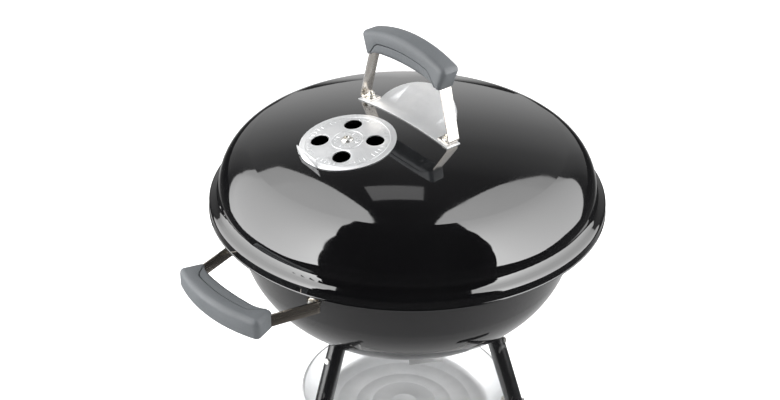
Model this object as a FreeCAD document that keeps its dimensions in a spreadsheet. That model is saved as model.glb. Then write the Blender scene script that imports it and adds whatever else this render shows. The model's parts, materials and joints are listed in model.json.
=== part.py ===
import FreeCAD, Part
import math
import os

import Sketcher
from FreeCAD import Placement, Rotation, Vector

# Kettle charcoal grill: a lidded bowl on three splayed legs, two of them on wheels.
# Millimetres. +Z is up, the origin is on the floor under the bowl's centre, and the
# bowl's handle and the plain leg are on the -X side. The axle runs along Y.

doc = FreeCAD.newDocument("kettle_grill")

# ---------------------------------------------------------------- driving sizes

SIZES = [
    # the kettle as a whole
    ("lip_height", 680, "floor to the lid's lower edge"),
    ("shell_wall", 1.2, "enamelled steel of lid and bowl"),
    ("seat_gap", 0.3, "gap left between pieces that rest on each other"),
    ("moving_gap", 0.5, "gap left between pieces that move past each other"),
    # lid
    ("lid_radius", 243, "outside of the skirt"),
    ("skirt_height", 11, "straight part of the skirt"),
    ("shoulder_radius", 5, "corner from skirt to shoulder"),
    ("shoulder_length", 4.7, "sloping shoulder"),
    ("cove_radius", 8, "hollow corner from shoulder to side"),
    ("shoulder_turn", 65, "degrees the shoulder leans in from upright"),
    ("lid_knuckle_radius", 59, "side to crown"),
    ("lid_crown_angle", 20.3, "half angle of the crown, degrees"),
    ("lid_hem_radius", 1.3, "rolled hem round the lid's lower edge"),
    ("lid_turn", -2, "how far the lid sits turned on the bowl, degrees"),
    # bowl
    ("bead_radius", 4.5, "rolled rim that the lid sits on"),
    ("flare_radius", 50, "hollow flare under the rim"),
    ("flare_heading", 52, "degrees from upright where the flare meets the rim"),
    ("wall_lean", 17, "degrees the bowl's side leans in"),
    ("bowl_side_length", 52, "straight side of the bowl"),
    ("bowl_knuckle_radius", 135, "side to crown"),
    ("bowl_crown_angle", 29.2, "half angle of the bowl's crown, degrees"),
    # handles: the lid's and the bowl's differ only in their straps' legs
    ("handle_spacing", 161, "between the outer corners of the two feet"),
    ("strap_width", 16, ""),
    ("strap_thickness", 2, ""),
    ("foot_length", 19, "foot turned in under the strap's leg"),
    ("foot_bolt_inset", 8.5, "foot's end to its bolt"),
    ("strap_bend_radius", 5, "bend at the foot"),
    ("strap_lean", 15, "degrees the legs of the strap lean in"),
    ("lid_strap_leg_length", 69, "the lid's handle stands higher than the bowl's"),
    ("bowl_strap_leg_length", 61, ""),
    ("strap_corner_radius", 8, "bend into the grip"),
    ("grip_arch_angle", 17, "half angle of the arched grip, degrees"),
    ("grip_length", 146, "end to end"),
    ("grip_width", 30, ""),
    ("grip_rise", 22, "outer half, above the strap"),
    ("grip_depth", 10, "inner half, below the strap"),
    ("grip_round", 8, "rounding of the grip's long edges"),
    ("bolt_radius", 3, "M6"),
    ("nut_flats", 10, "across the flats"),
    ("nut_height", 5, ""),
    ("bolt_clearance", 0.25, "round a bolt in its hole"),
    ("bolt_head_radius", 6, ""),
    ("bolt_head_height", 3, ""),
    ("grip_screw_offset", 32, "grip's screws from its middle"),
    ("grip_screw_radius", 1.8, ""),
    ("bowl_handle_drop", 24, "bowl handle's middle below the lid's edge"),
    ("bowl_handle_standoff", 1, "strap's upper edge to the bowl"),
    ("flare_allowance", 8, "degrees the flare adds to the wall's lean behind the bolts"),
    ("spacer_rim", 1, "spacer's edge past the bolt's head"),
    # heat shield under the lid's handle
    ("shield_thickness", 1, ""),
    ("shield_overhang", 1.5, "end of the shield past the strap's foot"),
    ("shield_front", 11, "front edge from the handle's middle line"),
    ("shield_bend", 9, "bend line of the flap, behind the middle line"),
    ("shield_flap_half_length", 62, "raised flap"),
    ("shield_flap_width", 46, "raised flap, along its slope"),
    ("shield_flap_angle", 30, "degrees"),
    # lid vent
    ("vent_offset", 87, "vent centre from the lid's axis"),
    ("vent_azimuth", 174, "degrees"),
    ("damper_radius", 58, ""),
    ("damper_thickness", 1, ""),
    ("vent_pitch_radius", 33.5, "hole centres"),
    ("vent_hole_radius", 11, "holes in the damper"),
    ("tab_width", 42, "thumb tab"),
    ("tab_height", 12, ""),
    ("rivet_radius", 3, "shank"),
    ("rivet_head_radius", 7, ""),
    ("rivet_tail_radius", 5.6, "upset end inside the shell"),
    ("running_gap", 0.06, "round a shaft in its hole"),
    # bowl vents
    ("bowl_vent_offset", 76, "vent centre from the bowl's axis"),
    ("bowl_damper_radius", 40, ""),
    ("bowl_vent_pitch_radius", 22, ""),
    ("bowl_vent_hole_radius", 8, ""),
    # grates
    ("cooking_grate_drop", 38, "grate's top below the lid's edge"),
    ("cooking_grate_radius", 204, ""),
    ("charcoal_grate_drop", 112, "grate's top below the lid's edge"),
    ("charcoal_grate_radius", 164, ""),
    ("grate_ring_wire", 3, "radius of the ring's wire"),
    ("cooking_wire", 1.8, "radius"),
    ("cooking_wire_pitch", 14.5, ""),
    ("charcoal_wire", 2.5, "radius"),
    ("charcoal_wire_pitch", 20, ""),
    ("ledge_reach", 12, "ledge under a grate's edge"),
    # legs
    ("leg_radius", 11.1, "outside of the tube"),
    ("leg_wall", 1.5, ""),
    ("leg_lean", 17.5, "degrees from upright"),
    ("leg_offset", 125, "leg's centre line from the axis, at leg_offset_drop"),
    ("leg_offset_drop", 200, "below the lid's edge"),
    ("leg_top_gap", 2.5, "leg's end to the bowl, along the leg"),
    ("leg_tail", 20, "wheel leg's end below the axle"),
    ("stub_length", 60, "stub under the bowl that the leg slides over"),
    ("stub_fit_gap", 0.15, "between stub and leg"),
    ("foot_height", 30, "foot cap on the plain leg"),
    ("plug_head", 2, "thickness"),
    ("foot_wall", 2.4, ""),
    # wheels
    ("wheel_radius", 75, ""),
    ("wheel_width", 36, ""),
    ("wheel_web", 5, "thickness of the disc between hub and rim"),
    ("wheel_dish_radius", 60, "where the web meets the rim"),
    ("wheel_rim_radius", 64.5, "inside of the rim at its edge"),
    ("tread_shoulder_width", 5, "sloping edge of the tread"),
    ("tread_shoulder_height", 4, ""),
    ("axle_radius", 4, ""),
    ("axle_end", 1.5, "axle past its push nut"),
    ("axle_spacer_radius", 7.2, "between leg and wheel"),
    ("push_nut_radius", 9.6, ""),
    ("push_nut_thickness", 1.5, ""),
    ("hub_radius", 15, ""),
    ("hub_overhang", 2, "hub past the rim, each side"),
    ("hub_cap_radius", 22, ""),
    ("hub_cap_rise", 12, "cap's middle past the rim"),
    ("hub_cap_brow_radius", 17.6, "where the cap's face turns down"),
    ("hub_cap_crown", 1, "the face's middle above its brow"),
    ("hub_cap_wall", 2.5, ""),
    # ash pan
    ("pan_radius", 134, "rolled brim's centre line"),
    ("pan_drop", 290, "brim below the lid's edge"),
    ("pan_depth", 32, ""),
    ("pan_wall", 1, ""),
    ("pan_brim_radius", 2.5, "rolled brim"),
    ("pan_corner_radius", 12, "between side and floor"),
    ("pan_step_radius", 2, "bends of the step up to the middle"),
    ("pan_step_angle", 45, "degrees"),
    ("pan_side_angle", 52, "degrees the pan's side leans out from level"),
    ("pan_boss_radius", 48, "raised middle"),
    ("pan_boss_height", 3, ""),
    ("clip_width", 36, ""),
    ("clip_thickness", 1.5, ""),
    ("clip_reach", 8, "clip past the leg's centre line"),
    # rack between the legs
    ("rack_height", 205, "above the floor"),
    ("rack_frame_wire", 3, "radius"),
    ("rack_wire", 1.8, "radius"),
    ("rack_pitch", 27, ""),
]

sheet = doc.addObject("Spreadsheet::Sheet", "dim")
for row, (alias, size, note) in enumerate(SIZES, 1):
    sheet.set(f"A{row}", note)
    sheet.set(f"B{row}", str(size))
    sheet.setAlias(f"B{row}", alias)
doc.recompute()


def value(formula):
    """The number a formula on the sheet's cells gives, such as 'dim.leg_radius * 2'."""
    return float(sheet.evalExpression(formula.replace("dim.", "")))


def cell(alias):
    return float(sheet.get(alias))


# ---------------------------------------------------------------- small helpers

UP = Vector(0, 0, 1)
ORIGIN = Vector(0, 0, 0)


def sin(degrees):
    return math.sin(math.radians(degrees))


def cos(degrees):
    return math.cos(math.radians(degrees))


def tan(degrees):
    return math.tan(math.radians(degrees))


def polar(radius, azimuth, z=0.0):
    return Vector(radius * cos(azimuth), radius * sin(azimuth), z)


def frame(origin, z_axis, x_axis):
    """A placement from an origin, a Z direction and a rough X direction."""
    z = Vector(z_axis).normalize()
    y = z.cross(x_axis).normalize()
    return Placement(origin, Rotation(y.cross(z), y, z, "ZXY"))


def primitive(kind, name, placement=None, **formulas):
    """A Part primitive whose properties follow the sheet."""
    made = doc.addObject(f"Part::{kind}", name)
    for prop, formula in formulas.items():
        made.setExpression(prop, formula)
    made.Placement = placement or Placement()
    return made


def cylinder(name, radius, height, placement=None):
    return primitive("Cylinder", name, placement, Radius=radius, Height=height)


def feature(label, shape, placement=None):
    """A piece whose shape is worked out from the sheet by the code above it."""
    made = doc.addObject("Part::Feature", label)
    made.Shape = shape
    if placement:
        made.Placement = placement
    return made


def fused(label, pieces):
    made = doc.addObject("Part::MultiFuse", label)
    made.Shapes = pieces
    made.Refine = True
    return made


def cut(label, base, tools):
    """base less its tools, one tool or a list of them."""
    tool = tools if not isinstance(tools, list) else None
    if tool is None:
        tool = doc.addObject("Part::Compound", label + "_tools")
        tool.Links = tools
    made = doc.addObject("Part::Cut", label)
    made.Base = base
    made.Tool = tool
    return made


def group(label, members):
    """Identical fasteners: separate solids that share a node."""
    made = doc.addObject("Part::Compound", label)
    made.Links = members
    return made


def origin_plane(body, role):
    return [item for item in body.Origin.OriginFeatures if item.Role == role][0]


def sketch_on(body, name, role, corners):
    """A closed outline with straight sides, each corner held at its sheet formulas."""
    sketch = body.newObject("Sketcher::SketchObject", name)
    sketch.AttachmentSupport = [(origin_plane(body, role), "")]
    sketch.MapMode = "FlatFace"
    points = [Vector(value(x), value(y), 0) for x, y in corners]
    count = len(points)
    sides = [Part.LineSegment(points[i], points[(i + 1) % count]) for i in range(count)]
    sketch.addGeometry(sides)
    for i in range(count):
        sketch.addConstraint(Sketcher.Constraint("Coincident", i, 2, (i + 1) % count, 1))
    for i, (x, y) in enumerate(corners):
        hold(sketch, "DistanceX", i, x, points[i].x, -2)
        hold(sketch, "DistanceY", i, y, points[i].y, -1)
    return sketch


def hold(sketch, kind, line, formula, size, axis):
    """Keeps a line's start at a formula's distance from the origin, or on an axis."""
    if abs(size) < 1e-9:
        sketch.addConstraint(Sketcher.Constraint("PointOnObject", line, 1, axis))
        return
    index = sketch.addConstraint(Sketcher.Constraint(kind, -1, 1, line, 1, size))
    sketch.setExpression(f"Constraints[{index}]", formula)


def turned(label, corners, placement=None):
    """A body turned about its own Z axis from an outline of (radius, height) formulas."""
    body = doc.addObject("PartDesign::Body", label)
    sketch = sketch_on(body, label + "_outline", "XZ_Plane", corners)
    turn = body.newObject("PartDesign::Revolution", label + "_turn")
    turn.Profile = sketch
    turn.ReferenceAxis = (sketch, ["V_Axis"])
    turn.Angle = 360
    if placement:
        body.Placement = placement
    return body


def hexagon_nut(name, placement):
    """A nut or a hexagon head, standing on its placement's XY plane."""
    nut = primitive("Prism", name, placement, Height="dim.nut_height",
                    Circumradius="dim.nut_flats / sqrt(3)")
    nut.Polygon = 6
    return nut


class Walk:
    """Draws tangent lines and arcs one after another in the XZ plane.

    The heading is in degrees, 0 along +X and 90 along +Z. inset draws the parallel
    curve that lies that far to the left, so a wall is two walks with the same steps.
    """

    def __init__(self, x, z, heading, inset=0.0):
        self.heading = heading
        self.inset = inset
        self.edges = []
        self.at = Vector(x, 0, z) + self.left() * inset

    def left(self):
        return Vector(cos(self.heading + 90), 0, sin(self.heading + 90))

    def line(self, length):
        end = self.at + Vector(cos(self.heading), 0, sin(self.heading)) * length
        self.edges.append(Part.makeLine(self.at, end))
        self.at = end

    def arc(self, radius, turn):
        """Turns left by a positive angle, right by a negative one."""
        side = 1 if turn > 0 else -1
        radius = radius - side * self.inset
        start = self.at
        centre = start + self.left() * side * radius
        self.heading += turn / 2
        middle = centre - self.left() * side * radius
        self.heading += turn / 2
        self.at = centre - self.left() * side * radius
        self.edges.append(Part.Arc(start, middle, self.at).toShape())

    def crown(self, half_angle):
        """The last arc, whose centre is on the Z axis and which ends there."""
        side = 1 if self.heading < (180 if self.at.x > 0 else 0) else -1
        radius = abs(self.at.x) / sin(half_angle) + side * self.inset
        self.arc(radius, side * half_angle)
        self.crown_radius = radius


def band(steps, thickness):
    """The face between a walk and its parallel; steps(inset) draws and returns one."""
    outer = steps(0.0)
    inner = steps(thickness)
    starts = Part.makeLine(outer.edges[0].Vertexes[0].Point, inner.edges[0].Vertexes[0].Point)
    ends = Part.makeLine(outer.at, inner.at)
    edges = Part.__sortEdges__(outer.edges + [ends] + inner.edges + [starts])
    return Part.Face(Part.Wire(edges))


def spun(face):
    return face.revolve(ORIGIN, UP, 360)


def filled(walk):
    """The solid inside a walk that starts at its widest and ends on the axis."""
    start = walk.edges[0].Vertexes[0].Point
    lid = Part.makeLine(start, Vector(0, 0, start.z))
    axis = Part.makeLine(Vector(0, 0, start.z), walk.at)
    face = Part.Face(Part.Wire(Part.__sortEdges__(walk.edges + [lid, axis])))
    return face.revolve(ORIGIN, UP, 360)


# ---------------------------------------------------------------- the two shells

LIP = cell("lip_height")
WALL = cell("shell_wall")
SEAT = cell("seat_gap")


def lid_steps(inset):
    """Skirt, sloping shoulder, cove, side and crown of the lid, from its lower edge up."""
    walk = Walk(cell("lid_radius"), LIP, 90, inset)
    walk.line(cell("skirt_height"))
    walk.arc(cell("shoulder_radius"), cell("shoulder_turn"))
    walk.shoulder = Vector(walk.at)
    walk.line(cell("shoulder_length"))
    walk.arc(cell("cove_radius"), -cell("shoulder_turn"))
    walk.side_top = Vector(walk.at)
    walk.arc(cell("lid_knuckle_radius"), 90 - cell("lid_crown_angle"))
    walk.crown(cell("lid_crown_angle"))
    return walk


LID_OUTSIDE = lid_steps(0.0)
LID_INSIDE = lid_steps(WALL)
LID_CROWN = LID_OUTSIDE.crown_radius
LID_CROWN_CENTRE = LID_OUTSIDE.at.z - LID_CROWN

# The rolled rim touches the underside of the shoulder, half way along its slope.
shoulder_heading = 90 + cell("shoulder_turn")
seat = LID_INSIDE.shoulder + Vector(cos(shoulder_heading), 0, sin(shoulder_heading)) * (
    cell("shoulder_length") / 2)
seat_normal = Vector(cos(shoulder_heading + 90), 0, sin(shoulder_heading + 90))
BEAD = seat + seat_normal * (cell("bead_radius") + SEAT)


def bowl_steps(inset):
    """Flare, side, knuckle and crown of the bowl, from its rolled rim down."""
    walk = Walk(BEAD.x, BEAD.z, 270 - cell("flare_heading"), inset)
    walk.arc(cell("flare_radius"), cell("flare_heading") - cell("wall_lean"))
    walk.line(cell("bowl_side_length"))
    walk.arc(cell("bowl_knuckle_radius"), cell("bowl_crown_angle") + cell("wall_lean") - 90)
    walk.crown(cell("bowl_crown_angle"))
    return walk


BOWL_OUTSIDE = bowl_steps(0.0)
BOWL_INSIDE = bowl_steps(-WALL)
BOWL_CROWN = BOWL_OUTSIDE.crown_radius
BOWL_CROWN_CENTRE = BOWL_OUTSIDE.at.z + BOWL_CROWN


def walk_point(walk, line):
    """Where a straight line in the XZ plane crosses a walk."""
    distance, pairs, _ = Part.Wire(walk.edges).distToShape(line)
    if distance > 0.01:
        raise RuntimeError("a line misses the shell it should meet")
    return pairs[0][0]


def radius_at(walk, height):
    reach = cell("lid_radius") * 1.5
    return walk_point(walk, Part.makeLine(Vector(0, 0, height), Vector(reach, 0, height))).x


def on_lid(radius, azimuth, lift=0.0):
    """A point on the lid's crown, raised along its normal, and that normal."""
    direction = polar(radius / LID_CROWN, azimuth)
    direction.z = math.sqrt(1 - direction.x ** 2 - direction.y ** 2)
    return Vector(0, 0, LID_CROWN_CENTRE) + direction * (LID_CROWN + lift), direction


def under_bowl(radius, azimuth, lift=0.0):
    """The same on the outside of the bowl's crown, the normal pointing down and out."""
    direction = polar(radius / BOWL_CROWN, azimuth)
    direction.z = -math.sqrt(1 - direction.x ** 2 - direction.y ** 2)
    return Vector(0, 0, BOWL_CROWN_CENTRE) + direction * (BOWL_CROWN + lift), direction


# ---------------------------------------------------------------- handles
#
# Both handles are drawn in a frame of their own: X along the handle, Z away from what
# it is bolted to, Y across the strap.

THICK = cell("strap_thickness")
FOOT_END = cell("handle_spacing") / 2 - cell("foot_length")


def strap_steps(inset, tilt, leg):
    """One half of the strap's outer face, from its foot's inner end up to the middle."""
    walk = Walk(-FOOT_END, 0, 180 + tilt, inset)
    bend = cell("strap_bend_radius")
    walk.line(cell("foot_length") - bend)
    walk.arc(bend, -90 - cell("strap_lean") - tilt)
    walk.line(leg)
    corner = 90 - cell("strap_lean") - cell("grip_arch_angle")
    walk.arc(cell("strap_corner_radius"), -corner)
    walk.crown(cell("grip_arch_angle"))
    return walk


def mirrored_pair(shape):
    return shape.fuse(shape.mirror(ORIGIN, Vector(1, 0, 0))).removeSplitter()


def across(face, width):
    """A face in the XZ plane made a solid, half its width to each side."""
    moved = face.translated(Vector(0, -width / 2, 0))
    return moved.extrude(Vector(0, width, 0))


def under_strap(inset, tilt, leg, width):
    """The solid between the strap's legs, out to a parallel of its outer face."""
    walk = strap_steps(inset, tilt, leg)
    start = walk.edges[0].Vertexes[0].Point
    base = Part.makeLine(start, Vector(0, 0, start.z))
    middle = Part.makeLine(Vector(0, 0, start.z), walk.at)
    face = Part.Face(Part.Wire(Part.__sortEdges__(walk.edges + [base, middle])))
    return mirrored_pair(across(face, width))


class Handle:
    """The strap, the grip's halves and the fasteners of one handle.

    seat_radius is the radius of the round surface that the feet lie on, seat_depth how
    far below the feet the inside face is, and place(origin height) the placement.
    """

    def __init__(self, prefix, seat_radius, seat_depth, place):
        self.prefix = prefix
        inset = cell("foot_bolt_inset")
        self.tilt = math.degrees(math.asin(FOOT_END / math.hypot(seat_radius, inset))
                                 + math.atan(inset / seat_radius))
        sag = inset * sin(self.tilt)
        self.place = place(seat_radius * cos(self.tilt) + sag)
        self.seat_depth = seat_depth
        self.leg = cell(f"{prefix}_strap_leg_length")
        self.arch = strap_steps(0.0, self.tilt, self.leg)
        self.holes = [self.bolt_hole(side) for side in (-1, 1)]

    def foot_frame(self, side):
        """On the foot's seat at its bolt, Z along the bolt."""
        point = Vector(side * (FOOT_END + cell("foot_bolt_inset") * cos(self.tilt)), 0,
                       -cell("foot_bolt_inset") * sin(self.tilt))
        axis = Vector(side * sin(self.tilt), 0, cos(self.tilt))
        return self.place.multiply(frame(point, axis, Vector(1, 0, 0)))

    def shifted(self, side, height):
        return self.foot_frame(side).multiply(Placement(Vector(0, 0, height), Rotation()))

    def bolt_hole(self, side):
        reach = 4 * self.seat_depth
        hole = cylinder(f"{self.prefix}_bolt_hole", "dim.bolt_radius + dim.bolt_clearance",
                        "4 * dim.nut_height", self.shifted(side, -reach / 2))
        return hole

    def strap(self):
        face = band(lambda inset: strap_steps(inset, self.tilt, self.leg), -THICK)
        blank = feature(f"{self.prefix}_strap_blank",
                        mirrored_pair(across(face, cell("strap_width"))), self.place)
        return cut(f"{self.prefix}_handle_strap", blank, self.holes + self.screw_holes())

    def grip_block(self):
        """The whole grip, arched like the strap, before it is parted."""
        crown = self.arch.crown_radius
        centre = Vector(0, 0, self.arch.at.z - crown)
        half = cell("grip_length") / 2
        outer = crown + cell("grip_rise")
        inner = crown - THICK - cell("grip_depth")
        sector = band(lambda inset: arch_walk(half, centre, outer, inset), inner - outer)
        block = mirrored_pair(across(sector, cell("grip_width")))
        return block.makeFillet(cell("grip_round"), block.Edges)

    def grip(self):
        gap = cell("running_gap")
        block = self.grip_block()
        wide = 2 * cell("grip_width")
        upper = block.cut(under_strap(gap, self.tilt, self.leg, wide))
        lower = block.common(under_strap(-THICK - gap, self.tilt, self.leg, wide))
        holes = self.screw_holes()
        for half, shape in (("outer", upper), ("inner", lower)):
            blank = feature(f"{self.prefix}_grip_{half}_blank", shape, self.place)
            cut(f"{self.prefix}_grip_{half}", blank, holes)

    def screw_frame(self, side, lift):
        """On the strap's outer face at a grip screw, Z along the screw."""
        crown = self.arch.crown_radius
        lean = math.degrees(math.asin(cell("grip_screw_offset") / crown))
        axis = Vector(side * sin(lean), 0, cos(lean))
        point = Vector(0, 0, self.arch.at.z - crown) + axis * (crown + lift)
        return self.place.multiply(frame(point, axis, Vector(1, 0, 0)))

    def screw_holes(self):
        """Through the grip's inner half and into the outer one, with room for the head."""
        holes = []
        for side in (-1, 1):
            low = -THICK - cell("grip_depth")
            holes.append(cylinder(
                f"{self.prefix}_screw_hole", "dim.grip_screw_radius + dim.running_gap",
                "dim.grip_depth + dim.strap_thickness + dim.grip_rise / 2",
                self.screw_frame(side, low)))
            holes.append(cylinder(
                f"{self.prefix}_screw_recess", "2 * dim.grip_screw_radius + dim.seat_gap",
                "dim.grip_depth", self.screw_frame(side, low - cell("grip_depth") / 2)))
        return holes

    def screws(self):
        low = -THICK - cell("grip_depth") / 2 + cell("running_gap")
        made = []
        for side in (-1, 1):
            shank = cylinder(f"{self.prefix}_screw_shank", "dim.grip_screw_radius",
                             "(dim.grip_depth + dim.grip_rise) / 2",
                             self.screw_frame(side, low - 1))
            head = cylinder(f"{self.prefix}_screw_head", "2 * dim.grip_screw_radius",
                            "dim.grip_screw_radius", self.screw_frame(
                                side, low - 1 - cell("grip_screw_radius")))
            made.append(fused(f"{self.prefix}_screw", [shank, head]))
        group(f"{self.prefix}_grip_screws", made)

    def bolts(self):
        under = -self.seat_depth - cell("running_gap")
        made = []
        for side in (-1, 1):
            shank = cylinder(f"{self.prefix}_bolt_shank", "dim.bolt_radius",
                             "2 * dim.nut_height + dim.strap_thickness",
                             self.shifted(side, under))
            head = cylinder(f"{self.prefix}_bolt_head", "dim.bolt_head_radius",
                            "dim.bolt_head_height",
                            self.shifted(side, under - cell("bolt_head_height")))
            made.append(fused(f"{self.prefix}_bolt", [shank, head]))
        group(f"{self.prefix}_handle_bolts", made)

    def nuts(self):
        made = []
        for side in (-1, 1):
            seat_frame = self.shifted(side, THICK)
            blank = hexagon_nut(f"{self.prefix}_nut_blank", seat_frame)
            thread = cylinder(f"{self.prefix}_nut_bore", "dim.bolt_radius + dim.running_gap",
                              "dim.nut_height", seat_frame)
            made.append(cut(f"{self.prefix}_nut", blank, thread))
        group(f"{self.prefix}_handle_nuts", made)

    def build(self):
        self.strap()
        self.grip()
        self.screws()
        self.bolts()
        self.nuts()


def arch_walk(half, centre, radius, inset):
    """From the grip's end to its middle along an arc about the arch's centre."""
    angle = math.degrees(math.asin(half / radius))
    walk = Walk(-half, centre.z + radius * cos(angle), angle, 0.0)
    walk.at = walk.at + walk.left() * inset
    walk.inset = inset
    walk.arc(radius, -angle)
    return walk


SHIELD = cell("shield_thickness")
LID_PLACE = Placement(ORIGIN, Rotation(UP, cell("lid_turn")))
ALONG_Y = Rotation(Vector(0, 1, 0), Vector(-1, 0, 0), UP, "ZXY")
OUT_FROM_BOWL = Rotation(Vector(0, 1, 0), Vector(0, 0, -1), Vector(-1, 0, 0), "ZXY")


def lid_handle_place(height):
    return LID_PLACE.multiply(Placement(Vector(0, 0, LID_CROWN_CENTRE + height), ALONG_Y))


def bowl_handle_place(height):
    return Placement(Vector(-height, 0, LIP - cell("bowl_handle_drop")), OUT_FROM_BOWL)


lid_handle = Handle("lid", LID_CROWN + SHIELD + 2 * cell("running_gap"),
                    SHIELD + WALL + 2 * cell("running_gap"), lid_handle_place)
lid_handle.build()

# The strap's upper edge comes nearest to the bowl, which leans away below it.
strap_top = LIP - cell("bowl_handle_drop") + cell("strap_width") / 2
bowl_at_strap = radius_at(BOWL_OUTSIDE, strap_top) + cell("bowl_handle_standoff")
bolt_reach = cell("strap_width") / 2 + cell("bolt_head_radius")
lean_gap = bolt_reach * tan(cell("wall_lean") + cell("flare_allowance"))
bowl_handle = Handle("bowl", bowl_at_strap,
                     cell("bowl_handle_standoff") + WALL + lean_gap, bowl_handle_place)
bowl_handle.build()

bowl_space = feature("bowl_space", filled(BOWL_OUTSIDE))
spacers = []
for side in (-1, 1):
    blank = cylinder("spacer_blank", "dim.bolt_head_radius + dim.spacer_rim", "2 * dim.nut_height",
                     bowl_handle.shifted(side, -2 * cell("nut_height")))
    spacers.append(cut("spacer", blank, [bowl_space, bowl_handle.holes[(side + 1) // 2]]))
group("bowl_handle_spacers", spacers)


# ---------------------------------------------------------------- lid


def heat_shield():
    """A sheet bent over the crown, with a rounded flap that rises behind the handle."""
    top = LID_CROWN_CENTRE + LID_CROWN + cell("running_gap")
    front = cell("shield_front")
    bend = -cell("shield_bend")
    slope = Vector(0, -cos(cell("shield_flap_angle")), sin(cell("shield_flap_angle")))
    edge = Vector(0, bend, top) + slope * cell("shield_flap_width")
    lift = Vector(0, 0, SHIELD)
    low = [Vector(0, front, top), Vector(0, bend, top), edge]
    high = [point + lift for point in reversed(low)]
    profile = Part.Face(Part.makePolygon(low + high + low[:1]))
    end = cell("handle_spacing") / 2 + cell("shield_overhang")
    sweep = 2 * math.degrees(math.asin(end / LID_CROWN))
    centre = Vector(0, 0, LID_CROWN_CENTRE)
    along = Vector(0, 1, 0)
    profile.rotate(centre, along, -sweep / 2)
    sheet_solid = profile.revolve(centre, along, sweep)
    half = cell("shield_flap_half_length")
    depth = cell("shield_flap_width") * cos(cell("shield_flap_angle"))
    oval = Part.Ellipse(Vector(0, bend, 0), half, depth)
    flap = Part.ArcOfEllipse(oval, math.pi, 2 * math.pi).toShape()
    corners = [Vector(half, bend, 0), Vector(end, bend, 0), Vector(end, front, 0),
               Vector(-end, front, 0), Vector(-end, bend, 0), Vector(-half, bend, 0)]
    sides = [Part.makeLine(a, b) for a, b in zip(corners, corners[1:])]
    outline = Part.Face(Part.Wire(Part.__sortEdges__(sides + [flap])))
    prism = outline.extrude(Vector(0, 0, 2 * LIP))
    blank = feature("shield_blank", sheet_solid.common(prism),
                    LID_PLACE.multiply(Placement(ORIGIN, ALONG_Y)))
    return cut("lid_heat_shield", blank, lid_handle.holes)


def damper(label, crown, place, radius, pitch, hole, count):
    """A round plate dished to lie on a crown, with holes and a thumb tab at its edge.

    place is on the crown's surface, Z along its normal and X towards the tab.
    """
    below = Placement(Vector(0, 0, -crown), Rotation())
    inner = doc.addObject("Part::Sphere", label + "_inside")
    inner.Radius = crown + SEAT
    outer = doc.addObject("Part::Sphere", label + "_outside")
    outer.Radius = crown + SEAT + cell("damper_thickness")
    for ball in (inner, outer):
        ball.Placement = place.multiply(below)
    column = cylinder(label + "_column", radius, "4 * dim.damper_thickness + dim.tab_height",
                      place.multiply(Placement(Vector(0, 0, -cell("tab_height")), Rotation())))
    disc = doc.addObject("Part::Common", label + "_disc")
    disc.Base = cut(label + "_skin", outer, inner)
    disc.Tool = column
    edge = value(radius)
    sheet_wall = cell("damper_thickness")
    tab_foot = edge - 3 * sheet_wall
    drop = crown - math.sqrt(crown ** 2 - tab_foot ** 2) - SEAT - sheet_wall / 2
    tab = primitive("Box", label + "_tab", None, Length="dim.damper_thickness",
                    Width="dim.tab_width", Height="dim.tab_height")
    tab.Placement = place.multiply(Placement(
        Vector(tab_foot, -cell("tab_width") / 2, -drop), Rotation()))
    holes = vent_holes(label, place, pitch, hole, count)
    pivot = cylinder(label + "_pivot", "dim.rivet_radius + dim.running_gap", "dim.tab_height",
                     place.multiply(Placement(Vector(0, 0, -cell("tab_height") / 2), Rotation())))
    return cut(label, fused(label + "_plate", [disc, tab]), holes + [pivot])


def vent_holes(label, place, pitch, hole, count):
    """Holes round a vent's pivot, none of them in line with its tab."""
    made = []
    for i in range(count):
        centre = polar(value(pitch), (i + 0.5) * 360 / count, -cell("tab_height"))
        made.append(cylinder(f"{label}_hole", hole, "2 * dim.tab_height",
                             place.multiply(Placement(centre, Rotation()))))
    return made


def rivet(label, place):
    """Holds a damper: a head outside it and an upset end inside the shell."""
    def at(height):
        return place.multiply(Placement(Vector(0, 0, height), Rotation()))
    top = 2 * SEAT + cell("damper_thickness")
    shank = cylinder(label + "_shank", "dim.rivet_radius",
                     "dim.damper_thickness + 2 * dim.seat_gap + dim.shell_wall"
                     " + dim.rivet_radius", at(-WALL - cell("rivet_radius") / 2))
    head = cylinder(label + "_head", "dim.rivet_head_radius", "dim.rivet_radius / 2", at(top))
    tail = cylinder(label + "_tail", "dim.rivet_tail_radius", "dim.rivet_radius / 2",
                    at(-WALL - cell("running_gap") - cell("rivet_radius") / 2))
    return fused(label, [shank, head, tail])


def rivet_hole(label, place):
    return cylinder(label, "dim.rivet_radius + dim.running_gap", "2 * dim.tab_height",
                    place.multiply(Placement(Vector(0, 0, -cell("tab_height")), Rotation())))


LID_VENTS = 4
BOWL_VENTS = 3
vent_point, vent_normal = on_lid(cell("vent_offset"), cell("vent_azimuth"))
VENT_PLACE = LID_PLACE.multiply(frame(vent_point, vent_normal, polar(1, cell("vent_azimuth"))))
damper("lid_damper", LID_CROWN, VENT_PLACE, "dim.damper_radius", "dim.vent_pitch_radius",
       "dim.vent_hole_radius", LID_VENTS)
rivet("lid_damper_rivet", VENT_PLACE)

lid_skin = feature("lid_skin", spun(band(lid_steps, WALL)))
hem = primitive("Torus", "lid_hem", Placement(
    Vector(0, 0, LIP + cell("lid_hem_radius")), Rotation()),
    Radius1="dim.lid_radius - dim.shell_wall / 2", Radius2="dim.lid_hem_radius")
openings = vent_holes("lid_vent", VENT_PLACE, "dim.vent_pitch_radius",
                      "dim.vent_hole_radius - dim.moving_gap", LID_VENTS)
openings.append(rivet_hole("lid_rivet_hole", VENT_PLACE))
cut("lid_shell", fused("lid_blank", [lid_skin, hem]), openings + lid_handle.holes)
heat_shield()


# ---------------------------------------------------------------- bowl

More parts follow.
